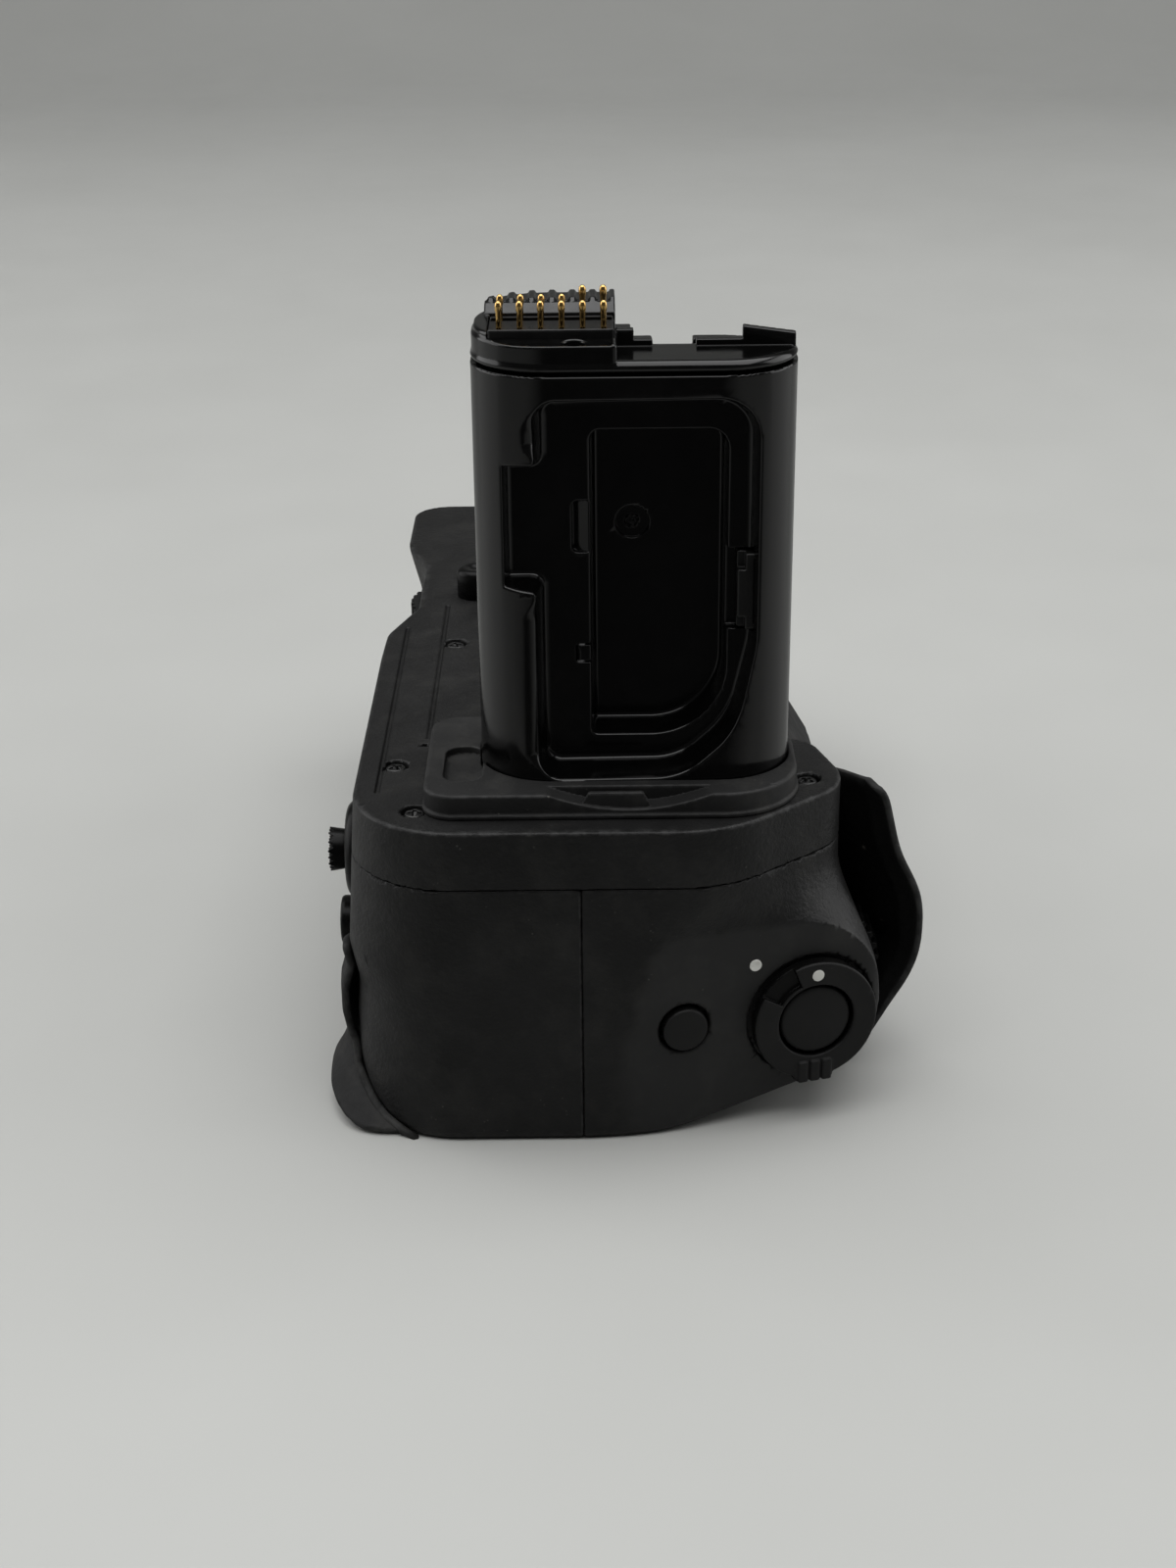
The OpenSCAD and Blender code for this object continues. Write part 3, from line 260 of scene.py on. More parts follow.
def lathe(name, line, place, steps=48):
    """Turned piece: line holds (radius, height) pairs, and its ends lie on the axis."""
    line = np.array(line, float)
    turns = np.arange(steps) * 2 * math.pi / steps
    points = [[0, 0, line[0, 1]], [0, 0, line[-1, 1]]]
    for r, h in line[1:-1]:
        points += [[r * math.cos(a), r * math.sin(a), h] for a in turns]
    rows = len(line) - 2
    faces = []
    for k in range(steps):
        n = (k + 1) % steps
        faces.append([0, 2 + n, 2 + k])
        faces.append([1, 2 + (rows - 1) * steps + k, 2 + (rows - 1) * steps + n])
        for row in range(rows - 1):
            a, b = 2 + row * steps, 2 + (row + 1) * steps
            faces.append([a + k, a + n, b + n, b + k])
    return mesh_object(name, place(np.array(points), None)[0], faces)


# Frames that pieces are drawn in

NEAR_X = -80.0
PANEL_Y = -8.0
PANEL_U = np.array([0.27564, -0.96126, 0.0])
PANEL_W = np.array([-0.96126, -0.27564, 0.0])
UP = np.array([0.0, 0.0, 1.0])


def placed(base, axes):
    """Takes points and normals from a piece's own axes to the part's frame."""
    base, axes = np.array(base, float), np.array(axes, float)

    def place(points, normals):
        return base + points @ axes, None if normals is None else normals @ axes
    return place


def on_panel(u, v):
    """Place on the control panel: first axis along it, second up, third outwards."""
    return placed(np.array([NEAR_X, PANEL_Y, 0]) + u * PANEL_U + v * UP, [PANEL_U, UP, PANEL_W])


def on_rear(x, z):
    """Place on the rear face: first axis along it, second up, third outwards from the tripod axis."""
    return placed((x, 0, z), [(-1, 0, 0), (0, 0, 1), (0, 1, 0)])


def upright(x, y, turn=0.0):
    """Place on the top plate: third axis up."""
    c, s = math.cos(turn), math.sin(turn)
    return placed((x, y, 0), [(c, s, 0), (-s, c, 0), (0, 0, 1)])


def along_x(y, z):
    """Place on an axis along the body: third axis points along +X."""
    return placed((0, y, z), [(0, 1, 0), (0, 0, 1), (1, 0, 0)])


# Materials

DUST = (0.30, 0.29, 0.26, 1.0)
GLUE = (0.16, 0.15, 0.13, 1.0)


def link(tree, source, target):
    tree.links.new(source, target)


def node(tree, kind, **values):
    """New node; values go to its sockets, or else to its properties."""
    made = tree.nodes.new(kind)
    for key, value in values.items():
        if key in made.inputs:
            made.inputs[key].default_value = value
        else:
            setattr(made, key, value)
    return made


def noise(tree, where, scale, detail=3.0, roughness=0.55):
    made = node(tree, "ShaderNodeTexNoise", Scale=scale, Detail=detail, Roughness=roughness)
    link(tree, where, made.inputs["Vector"])
    return made.outputs["Fac"]


def cells(tree, where, scale, **more):
    """Distance from the middle of random cells."""
    made = node(tree, "ShaderNodeTexVoronoi", Scale=scale, **more)
    link(tree, where, made.inputs["Vector"])
    return made.outputs["Distance"]


def mark(tree, name):
    """Value that a piece's points carry under a name."""
    return node(tree, "ShaderNodeAttribute", attribute_name=name).outputs["Fac"]


def ramp(tree, source, low, high, from_value=0.0, to_value=1.0):
    limits = {"From Min": low, "From Max": high, "To Min": from_value, "To Max": to_value}
    made = node(tree, "ShaderNodeMapRange", **limits)
    link(tree, source, made.inputs["Value"])
    return made.outputs["Result"]


def mixed(tree, share, a, b):
    """Mix of two colours, each a socket or a plain colour."""
    made = node(tree, "ShaderNodeMix", data_type="RGBA")
    link(tree, share, made.inputs["Factor"])
    for value, socket in ((a, made.inputs[6]), (b, made.inputs[7])):
        if isinstance(value, tuple):
            socket.default_value = value
        else:
            link(tree, value, socket)
    return made.outputs[2]


def times(tree, a, b):
    """Product of a socket and a socket or a plain number."""
    made = node(tree, "ShaderNodeMath", operation="MULTIPLY")
    link(tree, a, made.inputs[0])
    if isinstance(b, float):
        made.inputs[1].default_value = b
    else:
        link(tree, b, made.inputs[1])
    return made.outputs[0]


def plus(tree, a, b):
    made = node(tree, "ShaderNodeMath", operation="ADD")
    link(tree, a, made.inputs[0])
    link(tree, b, made.inputs[1])
    return made.outputs[0]


def grey(level):
    return (level, level, level, 1.0)


def shaded(colour, share, lift=0.0):
    return tuple(min(1.0, c * share + lift) for c in colour[:3]) + (1.0,)


def rubbed(tree, where, tint, colour, wear):
    """Tint with its edges rubbed paler."""
    patches = ramp(tree, noise(tree, where, 700, 4), 0.42, 0.62)
    worn = times(tree, ramp(tree, mark(tree, "edge"), 0.15, 0.7), patches)
    return mixed(tree, times(tree, worn, wear), tint, shaded(colour, 3.5, 0.02))


def dusty(tree, where, tint, dust):
    """Tint under a haze of dust with specks in it."""
    chosen = ramp(tree, noise(tree, where, 420, 5, 0.7), 0.60, 0.68)
    specks = times(tree, ramp(tree, cells(tree, where, 1300), 0.24, 0.12), chosen)
    haze = ramp(tree, noise(tree, where, 160, 5, 0.65), 0.48, 0.85, 0.0, 0.30)
    return mixed(tree, times(tree, plus(tree, specks, haze), dust), tint, DUST)


def lined(tree, where, tint, lining):
    """Tint whose inner side is a lining with specks of glue."""
    few = ramp(tree, noise(tree, where, 130, 4, 0.6), 0.56, 0.66)
    specks = times(tree, ramp(tree, cells(tree, where, 420), 0.20, 0.10), few)
    return mixed(tree, mark(tree, "inside"), tint, mixed(tree, specks, lining, GLUE))


def finish_of(name, colour, rough, grain, grain_size=0.4, pits=0.0, mottle=0.25, wear=0.0, dust=0.0,
              metal=0.0, satin=None, specular=0.5, lining=None):
    """Procedural finish: grain and pits in mm, mottled colour, worn edges and settled dust.

    satin holds the colour and roughness of faces that are marked so, lining the inner side's colour.
    """
    material = bpy.data.materials.new(name)
    material.use_nodes = True
    tree = material.node_tree
    shader = tree.nodes["Principled BSDF"]
    where = node(tree, "ShaderNodeTexCoord").outputs["Object"]
    blotch = ramp(tree, noise(tree, where, 90, 4), 0.3, 0.7)
    tint = mixed(tree, blotch, shaded(colour, 1 - mottle), shaded(colour, 1 + mottle))
    rough_value = ramp(tree, noise(tree, where, 350, 3), 0.25, 0.75, rough - 0.06, rough + 0.06)
    height = times(tree, noise(tree, where, 1 / (grain_size * MM), 3, 0.6), grain)
    if pits:
        pit = cells(tree, where, 1 / (grain_size * 2 * MM), feature="SMOOTH_F1")
        height = plus(tree, height, times(tree, pit, pits))
    if wear:
        tint = rubbed(tree, where, tint, colour, wear)
    if satin:
        patch = mark(tree, "satin")
        tint = mixed(tree, patch, tint, satin[0])
        smooth = node(tree, "ShaderNodeMix", data_type="FLOAT")
        smooth.inputs[3].default_value = satin[1]
        link(tree, patch, smooth.inputs["Factor"])
        link(tree, rough_value, smooth.inputs[2])
        rough_value = smooth.outputs[0]
        height = times(tree, height, ramp(tree, patch, 0.0, 1.0, 1.0, 0.08))
    if dust:
        tint = dusty(tree, where, tint, dust)
    if lining:
        tint = lined(tree, where, tint, lining)
    bump = node(tree, "ShaderNodeBump", Strength=1.0, Distance=MM)
    link(tree, height, bump.inputs["Height"])
    link(tree, bump.outputs["Normal"], shader.inputs["Normal"])
    link(tree, tint, shader.inputs["Base Color"])
    link(tree, rough_value, shader.inputs["Roughness"])
    shader.inputs["Metallic"].default_value = metal
    shader.inputs["Specular IOR Level"].default_value = specular
    return material


PAINT = {
    "body": finish_of("moulded_body", grey(0.0095), 0.46, 0.10, 0.5, pits=0.05, wear=0.5, dust=0.14,
                      satin=(grey(0.020), 0.44), specular=0.3),
    # satin colour of the buttons and lock ring: paler faces over darker sides, partly a real satin finish
    # and partly painted shade on the sides
    "panel_black": finish_of("satin_black", grey(0.004), 0.28, 0.006, 0.3, wear=0.25, dust=0.05,
                             satin=(grey(0.016), 0.42), specular=0.15),
    "tower_black": finish_of("glossy_black", grey(0.0015), 0.15, 0.002, 0.8, wear=0.10, dust=0.02),
    "rubber": finish_of("grip_rubber", grey(0.014), 0.68, 0.12, 0.7, pits=0.10, wear=0.4, dust=0.35,
                        specular=0.3, lining=grey(0.006)),
    "seal": finish_of("seal_rubber", grey(0.014), 0.60, 0.03, wear=0.35, dust=0.30, specular=0.35),
    "gold": finish_of("gold_plate", (0.86, 0.56, 0.20, 1.0), 0.16, 0.002, mottle=0.12, metal=1.0),
    "steel": finish_of("turned_steel", grey(0.55), 0.28, 0.006, 0.2, mottle=0.1, metal=1.0),
    "black_steel": finish_of("blackened_steel", grey(0.03), 0.34, 0.01, wear=0.5, dust=0.2, metal=0.6),
    "alloy": finish_of("cast_alloy", grey(0.42), 0.45, 0.02, mottle=0.12, metal=1.0),
    "brass": finish_of("cut_brass", (0.62, 0.43, 0.17, 1.0), 0.33, 0.006, mottle=0.12, metal=1.0),
    "mark": finish_of("white_mark", (0.74, 0.74, 0.70, 1.0), 0.5, 0.01, mottle=0.06),
    "board": finish_of("circuit_board", (0.02, 0.09, 0.04, 1.0), 0.4, 0.02, mottle=0.3),
    "flex": finish_of("flex_film", (0.28, 0.11, 0.03, 1.0), 0.35, 0.01, mottle=0.2),
    "pack": finish_of("pack_case", grey(0.05), 0.5, 0.03, 0.3, wear=0.2, dust=0.06),
    "inner": finish_of("inner_moulding", grey(0.005), 0.32, 0.02, wear=0.2, dust=0.08),
}


def dress(piece, slot, body, *nodes):
    """Gives a piece its finish, its body and the CAD nodes that it stands for."""
    piece.data.materials.clear()
    piece.data.materials.append(PAINT[slot])
    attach(piece, body)
    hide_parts(*nodes)


# Body

FAR_X = 57.5
REAR_Y = 29.0
CORNER_R = 14.0
CORNER = (NEAR_X + CORNER_R, REAR_Y - CORNER_R)
UPPER_PLAN = [(NEAR_X, REAR_Y, CORNER_R), (NEAR_X, -18.5, 17), (-65.2, -35.5, 9), (-51.8, -31.6, 5),
              (-48.8, -27.4, 4), (FAR_X, -29, 6), (FAR_X, REAR_Y, 6)]
BACK_PLAN = [(NEAR_X, REAR_Y, CORNER_R), (NEAR_X, -70, 0), (70, -70, 0), (70, REAR_Y, 0)]
GRIP_PLAN = [(-95.2, 45, 0), (-70.8, -40.1, 3), (-45, -40.1, 60), (FAR_X, -29.8, 8), (FAR_X, 45, 0)]
FOOT_PROFILE = [(-12, 0, 30), (REAR_Y, 0, 9), (REAR_Y, 60, 0)]
LOBE_PROFILE = [(-34.5, 60, 0), (-34.5, 35.5, 14), (-40.2, 19.5, 12), (-38.8, 9.5, 8), (-29.7, 4.7, 10),
                *FOOT_PROFILE]
MAIN_PROFILE = [(-29, 60, 0), (-29, 33, 8), (-38.3, 17.5, 12), (-38.3, 10.5, 5), (-33, 5.6, 14),
                *FOOT_PROFILE]
PANEL = [(-8.2, -9, 0), (1.6, 29.3, 4.5), (32.9, 29.3, 12.5), (32.9, -9, 0)]
NOTCH = [(-20, 60, 0), (-9, 29.9, 0), (4.5, 25.4, 3), (24.5, 25.4, 8), (44.5, 32, 0), (44.5, 60, 0)]
PLATE = 45.0
LINE = 37.0
WALL = 2.0
SEAM = 0.045
SEAM_EDGE = 0.12
SHUTTER = (23.1, 15.3)
FUNCTION = (5.5, 16.0)
PANEL_MARK = (15.05, 23.93)
STICK = (-50.0, 28.9)
FOCUS = (-50.0, 17.8)
FRONT_DIAL = (-57.0, -32.8, 16.2)
FRONT_DIAL_R = 8.0
REAR_DIAL = (-34.0, 26.6, 28.0)
REAR_DIAL_R = 5.0
DIAL_HALF = 3.0
WHEEL = (16.8, 16.0)
SCREWS = [(-58.2, 24.6), (-72.8, 21.2), (-63.8, -29.7), (-12.0, 18.8)]


def panel_place(x, y):
    """Distance along the control panel and outwards from it."""
    dx, dy = x - NEAR_X, y - PANEL_Y
    return dx * PANEL_U[0] + dy * PANEL_U[1], dx * PANEL_W[0] + dy * PANEL_W[1]


def hull(x, y, z):
    """Outside of the three covers together, without the top plate's face.

    The rear wall flares out, except at the seat of the thumb rest's skin, and its far half leans in.
    The hand grip stands out past the plate. Its near end, the lobe, has a shelf round the panel.
    """
    seat = ease(-66, -62, x) * (1 - ease(-37, -35, x)) * (1 - ease(22.6, 24.2, z))
    flare = np.interp(z, (0, 14, 19, 24, PLATE), (1.4, 1.4, 1.0, 2.05, 0.6))
    flare = flare * (1 - seat) * (1 - ease(-20, 10, x))
    flare = flare - 0.16 * np.clip(PLATE - z, 0, 12) * ease(10, 25, x)
    y = y - flare * np.clip((y - 5) / 15, 0, 1)
    lobe = 1 - ease(-54, -38, x)
    u, _ = panel_place(x, y)
    beyond = np.clip(outline(u, z, PANEL) / 7.5, 0, 1) * ease(14, 20, z)
    shelf = np.maximum((1 - (1 - beyond) ** 2.2) * lobe, ease(33.5, 36.5, z))
    back, grip = outline(x, y, BACK_PLAN), outline(x, y, GRIP_PLAN)
    crease = 0.3 + 1.8 * (1 - ease(2, 26, z))
    lower = np.where(x < 0, softly(back, grip + 0.028 * (15.5 - z) * lobe, crease), both(back, grip, 6))
    plan = lower + (outline(x, y, UPPER_PLAN) - lower) * shelf
    main = outline(y, z, MAIN_PROFILE)
    side = main + (outline(y, z, LOBE_PROFILE) - main) * lobe
    near, far = 1 - ease(-74, -66, x), ease(50, 56, x)
    rounding = (1.3 * near + 2.5 * far) * (1 - ease(9, 16, z))
    return np.where(rounding > 0, both(plan, side, rounding), np.maximum(plan, side))


def notch(x, y, z):
    """Finger notch at the attachment wheel, undercut at its far side."""
    return np.maximum(outline(x - 1.1 * ease(18, 30, x) * np.clip(44 - z, 0, 8), y, NOTCH), 24 - z)


def shell(x, y, z):
    """The covers as one shell with the cuts that they share."""
    outside = hull(x, y, z)
    hollow = np.maximum(np.maximum(outside + WALL, z - PLATE + WALL), WALL - notch(x, y, z))
    form = less(both(outside, z - PLATE, 0.45), notch(x, y, z), 0.6)
    return less(form, hollow)


def drilled(form, u, v, spot, r, stop, edge):
    """A form with a round hole about a spot; stop is positive past the hole's end."""
    return less(form, np.maximum(disc(u, v, *spot, r), stop), edge)


def flex_slot(x, y, z, low, high):
    """Slot that the flex cable runs through, between two heights."""
    return brick(x, y, z, (-55.3, -2.9, low), (-53.6, 8.6, high))


def top_cover(x, y, z):
    form = both(shell(x, y, z), LINE + SEAM - z, SEAM_EDGE)
    for spot in SCREWS:
        form = either(form, np.maximum(disc(x, y, *spot, 2.3), between(LINE, PLATE - 0.5, z)))
        form = drilled(form, x, y, spot, 1.75, PLATE - 1.1 - z, 0.15)
    form = drilled(form, x, y, WHEEL, 12.1, z - 41.9, 0.2)
    form = drilled(form, x, y, (0, 0), 6.35, PLATE - 3 - z, 0.2)
    for start, end, middle in ((-67, -5, 26.45), (-49, 5, 20.75)):
        groove = block(x, y, start, end, middle - 0.25, middle + 0.25, 0.2)
        form = less(form, both(groove, PLATE - 0.4 - z), 0.1)
    form = drilled(form, x, y, (-51.3, 21.2), 0.55, PLATE - 1.2 - z, 0.1)
    return less(form, flex_slot(x, y, z, 40, 50))


def lower_cuts(form, x, y, z):
    """Cuts that both lower covers share: the tray's mouth and the hole of the tripod bush."""
    form = less(form, brick(x, y, z, (52.5, -24.5, 6.3), (70, 21.1, 31.6), 0.6), 0.25)
    return drilled(form, x, y, (0, 0), 6.06, z - 3, 0.2)


def dial_slot(x, y, z, dial, r, outward):
    """Slot for a dial, cut a little past its axle."""
    half = DIAL_HALF + 0.3
    cut = np.maximum(disc(y, z, dial[1], dial[2], r + 0.6), between(dial[0] - half, dial[0] + half, x))
    return np.maximum(cut, (dial[1] - y) * outward - 3)


def rear_cover(x, y, z):
    form = both(shell(x, y, z), z - LINE + SEAM, SEAM_EDGE)
    form = both(form, SEAM - y, SEAM_EDGE)
    form = drilled(form, x, z, STICK, 4.6, 20 - y, 0.2)
    form = drilled(form, x, z, FOCUS, 3.8, 20 - y, 0.2)
    form = less(form, dial_slot(x, y, z, REAR_DIAL, REAR_DIAL_R, 1), 0.3)
    form = drilled(form, x, y, WHEEL, 9.4, 32.5 - z, 0.2)
    return lower_cuts(form, x, y, z)


def front_cover(x, y, z):
    form = both(shell(x, y, z), z - LINE + SEAM, SEAM_EDGE)
    form = both(form, y + SEAM, SEAM_EDGE)
    u, w = panel_place(x, y)
    form = drilled(form, u, z, SHUTTER, 6.7, -4 - w, 0.3)
    form = drilled(form, u, z, SHUTTER, 8.85, -0.7 - w, 0.2)
    form = drilled(form, u, z, FUNCTION, 3.5, -4 - w, 0.35)
    form = less(form, dial_slot(x, y, z, FRONT_DIAL, FRONT_DIAL_R, -1), 0.3)
    return lower_cuts(form, x, y, z)


def panel_paint(points):
    """Marks the control panel's smooth face on the front cover."""
    u, w = panel_place(points[:, 0], points[:, 1])
    z = points[:, 2]
    facing = 1 - ease(0.6, 1.4, np.abs(w))
    return {"satin": facing * (1 - ease(-0.4, 0.5, outline(u, z, PANEL)))}


for name, form, low, high, paint in (
        ("top", top_cover, (NEAR_X, -35, 36.5), (FAR_X, 30, PLATE), None),
        ("rear", rear_cover, (NEAR_X, 0, 0), (FAR_X, 31.2, LINE), None),
        ("front", front_cover, (NEAR_X, -39.5, 0), (FAR_X, 0, LINE), panel_paint)):
    cover = solid(f"{name}_shell", form, low, high, 0.4, merge=0.02, paint=paint)
    dress(cover, "body", "grip_body", f"{name}_cover")


# Tower

TOWER_PLAN = [(-71.3, 12.9, 9.5), (-71.3, -27.2, 9.5), (-50.3, -27.2, 9.5), (-50.3, 12.9, 9.5)]
TOWER_SEAM = 100.7
PIN_ROWS = (-66.0, -60.0)
PIN_START = -3.45
PIN_PITCH = 2.52
PIN_COUNT = 6
GATE = (-6.9, 79.6)
POCKET = [(5.2, 48.4, 3), (-13, 48.6, 9), (-19.9, 54.8, 12), (-22.5, 66, 16), (-22.5, 97.8, 5.5),
          (5.2, 97.6, 2.7), (5.2, 89.6, 0.6), (9.45, 89.6, 0.6), (9.45, 73.5, 0.6), (5.2, 73.5, 0.6)]
WINDOW = [(-1.65, 52.7, 0.8), (-18.65, 52.7, 9.5), (-18.65, 92.8, 2.5), (-1.65, 92.8, 1.2)]


def tower(x, y, z):
    """Tower with its pocket and window; the pocket's edge is soft along two stretches, its lip."""
    plan = outline(x, y, TOWER_PLAN)
    form = both(both(plan, z - TOWER_SEAM + SEAM, 0.08), PLATE - z, 0.05)
    lip = (1 - ease(2.4, 4.0, np.abs(y - 4.9))) * np.maximum(
        ease(49.5, 52, z) * (1 - ease(69.5, 73, z)), ease(90, 92.5, z) * (1 - ease(93.5, 97, z)))
    pocket = both(outline(y, z, POCKET) + 0.2 * (x + 71), x + 66.4, 0.5)
    form = less(form, pocket, 0.35 + 1.6 * lip)
    form = less(form, both(outline(y, z, WINDOW) + 0.1 * (x + 66), x + 61.4, 0.4), 0.3)
    form = less(form, brick(x, y, z, (-68.2, -24.05, 67), (-64.6, -18.25, 77.6), 0.2), 0.15)
    slope = x + 65.2 - 0.5 * (y - 0.7)
    form = less(form, both(block(y, z, -1.9, 0.7, 77.2, 83.9, 0.8), slope, 0.1), 0.2)
    square = np.abs(block(y, z, -1.9, 0.2, 62.7, 65, 0.2)) - 0.13
    form = less(form, np.maximum(square, x + 66.15), 0.05)
    form = drilled(form, y, z, GATE, 2.1, x + 61.05, 0.2)
    ring = np.minimum(np.abs(disc(y, z, *GATE, 0.75)) - 0.16, disc(y, z, *GATE, 0.25))
    form = either(form, np.maximum(ring, between(-61.25, -60.5, x)), 0.05)
    core = np.maximum(np.maximum(plan + 1.6, -59.8 - x), z - 98)
    form = less(form, core)
    form = less(form, brick(x, y, z, (-63.3, -20.4, 99.5), (-52, -6.95, 110)), 0.15)
    form = less(form, brick(x, y, z, (-53, -14.8, 99.5), (-40, -9.65, 110)), 0.15)
    return less(form, flex_slot(x, y, z, 96, 110))


dress(solid("tower_case", tower, (-71.3, -27.2, PLATE), (-50.3, 12.9, TOWER_SEAM), 0.24, merge=0.02),
      "tower_black", "grip_body", "tower_front", "tower_shell")


def tower_cap(x, y, z):
    """Cap with the raised bed of the pins, the comb behind them and a low half with a slanted end wall."""
    plan = outline(x, y, TOWER_PLAN)
    form = both(plan, between(TOWER_SEAM + SEAM, 102.35, z), 1.1)
    left = -4.95 - y
    form = either(form, both(both(plan + 0.2, left, 0.5), between(101.2, 104.45, z), 0.45), 0.2)
    shoulder = np.maximum(np.maximum(10.45 - y, -67.5 - x), left)
    form = either(form, both(both(plan + 0.5, shoulder, 0.3), between(101.2, 105.2, z), 0.4), 0.2)
    form = less(form, np.maximum(disc(x, z, -69.7, 112.4, 8.2), between(-4.3, 9.8, y)), 0.2)
    form = drilled(form, x, y, (-69.3, 0.15), 1.35, 103.2 - z, 0.3)
    comb = 0.35 * ease(0.3, 0.7, np.abs(np.cos(math.pi * (y - PIN_START) / PIN_PITCH)))
    bank = both(plan + 0.4, block(x, y, -58.1, -50, -4.95, 11.2, 0.3))
    rise = np.minimum(105.4 + 0.45 * (x + 58.1), 106.7) - comb * ease(-56.2, -55.4, x)
    form = either(form, both(bank, between(101.7, rise, z), 0.2))
    form = less(form, brick(x, y, z, (-67.4, -4.75, 100), (-58.2, 10.55, 110), 0.1), 0.1)
    form = less(form, brick(x, y, z, (-67.4, -4.75, 100), (-52.9, 10.55, 101.9), 0.1))
    form = less(form, brick(x, y, z, (-61.9, -40, 99), (-40, -6.95, 110), 0.2), 0.2)
    for near, side, top in ((-7.1, -4.9, 104.4), (-9.4, -6.9, 103.15), (-20.5, -14.7, 103.15)):
        form = either(form, brick(x, y, z, (-63.3, near, 101.5), (-61.9, side, top), 0.15), 0.1)
    slanted = both(z - 104.75 - 0.14 * (y + 20.4), 101.5 - z)
    wall = both(plan + 0.3, both(y + 20.35, between(-63.3, -61.9, x), 0.2))
    return either(form, both(wall, slanted, 0.25), 0.1)


dress(solid("tower_top", tower_cap, (-71.3, -27.2, 100.5), (-50.3, 12.9, 106.9), 0.15),
      "tower_black", "grip_body", "tower_cap")


def pin_block(x, y, z):
    form = brick(x, y, z, (-67.3, -4.65, 101.9), (-58.3, 10.45, 105.1), 0.15)
    form = either(form, brick(x, y, z, (-67.3, -4.65, 104), (-66.95, 10.45, 105.45), 0.15))
    form = less(form, brick(x, y, z, (-66.9, -4.5, 104.6), (-66.6, 10.3, 106), 0.1), 0.05)
    form = less(form, brick(x, y, z, (-60.9, -4.5, 103.9), (-59.0, 10.3, 110), 0.1), 0.1)
    near_pin = np.abs((y - PIN_START) / PIN_PITCH - np.round((y - PIN_START) / PIN_PITCH)) * PIN_PITCH
    for row in PIN_ROWS:
        form = less(form, np.hypot(x - row, near_pin) - 0.56, 0.1)
    return form


dress(solid("pin_carrier", pin_block, (-67.4, -4.7, 101.8), (-58.2, 10.5, 105.4), 0.12),
      "inner", "grip_body", "pin_block")


def make_pins():
    pins = []
    for row, x in enumerate(PIN_ROWS):
        for i in range(PIN_COUNT):
            tall = row == 1 and i < 2
            top = 109.2 if tall else 108.65 - 0.5 * row
            r = 0.37 if tall else 0.34
            line = [(0, 103.0), (r, 103.0), (r, top - 1.35), (r + 0.08, top - 1.15), (r + 0.09, top - 0.6),
                    (r + 0.02, top - 0.25), (r * 0.6, top - 0.05), (0, top)]
            pins.append(lathe(f"pin_{row}_{i}", line, upright(x, PIN_START + i * PIN_PITCH), 20))
    return joined("pins", pins)


dress(make_pins(), "gold", "contact_pins", "contact_pins")

COLLAR_PLAN = [(-75.9, 20, 4), (-75.9, -28.1, 10), (-49.4, -28.1, 10), (-49.4, 20, 4)]


def collar(x, y, z):
    """Seal round the tower's foot, with a recess beside it and a scoop with a tongue in front of it."""
    plan = outline(x, y, COLLAR_PLAN)
    form = both(plan, between(PLATE, PLATE + 3.4, z), 0.5)
    foot = both(plan - 0.25, between(PLATE, PLATE + 0.7, z), 0.25)
    form = either(form, foot, 0.2)
    form = less(form, outline(x, y, TOWER_PLAN) - 0.12, 0.3)
    form = less(form, np.maximum(block(x, y, -71.2, -60, 12.6, 17.6, 2.2), PLATE + 2.4 - z), 0.2)
    across = y + 6.25
    drop = 2.1 * np.maximum(1 - (across / 10.5) ** 2, 0)
    tab = 3.4 + 0.55 * (PLATE + 3.4 - z)
    scoop = np.maximum(PLATE + 3.4 - drop - z, x + 73.2)
    tongue = np.maximum(np.abs(y + 4.5) - tab, x + 74.6)
    scoop = np.maximum(scoop, -np.maximum(tongue, -75.4 - x) * 0.8)
    return less(form, scoop, 0.25)


dress(solid("collar", collar, (-76.2, -28.4, 45), (-49.1, 20.3, 48.5), 0.2),
      "seal", "grip_body", "collar_seal")


# Controls

def satin_face_shaded_sides(level):
    """Satin faces above a level, on pieces whose sides are glossy; the sides stay darker than the paler
    faces, partly a glossy finish and partly painted shade.
    """
    return lambda p: {"satin": ease(level - 0.25, level, p[:, 2])}


def shutter_button(u, v, w):
    r = np.hypot(u, v)
    dome = w - 2.2 + 0.45 * (r / 4.85) ** 2
    cap = both(both(r - 4.85, dome, 0.45), -3 - w)
    return either(cap, np.maximum(r - 1.5, between(-5.5, -2.5, w)))


dress(solid("shutter", shutter_button, (-4.9, -4.9, -5.5), (4.9, 4.9, 2.2), 0.14, on_panel(*SHUTTER),
            paint=satin_face_shaded_sides(1.6)),
      "panel_black", "shutter_button", "shutter_button")


def lock_ring(u, v, w):
    r = np.hypot(u, v)
    form = both(r - 8.5, between(0.15, 2.2, w), 0.35)
    hub = np.maximum(r - 6.4, between(-3.4, 0.6, w))
    form = either(form, hub)
    tab = both(block(u, v, -2.9, 2.5, -8.9, -6.0, 0.5), between(0.3, 2.2, w), 0.3)
    form = either(form, tab, 0.3)
    for i in (-1, 0, 1):
        rib = block(u, v, 1.65 * i - 0.85, 1.65 * i + 0.55, -8.9, -5.8, 0.3)
        form = either(form, both(rib, between(0.3, 2.65, w), 0.3), 0.15)
    angle = np.degrees(np.arctan2(v, u))
    sector = np.maximum(between(112, 149, angle) * 0.12, 1.35 - w)
    sector = np.maximum(sector, 5.7 - r)
    form = less(form, sector, 0.1)
    return less(form, r - 5.25, 0.3)


dress(solid("lock_lever", lock_ring, (-8.6, -10.3, -3.4), (8.6, 8.6, 3.0), 0.16, on_panel(*SHUTTER),
            paint=satin_face_shaded_sides(2.1)),
      "panel_black", "lock_ring", "lock_ring")


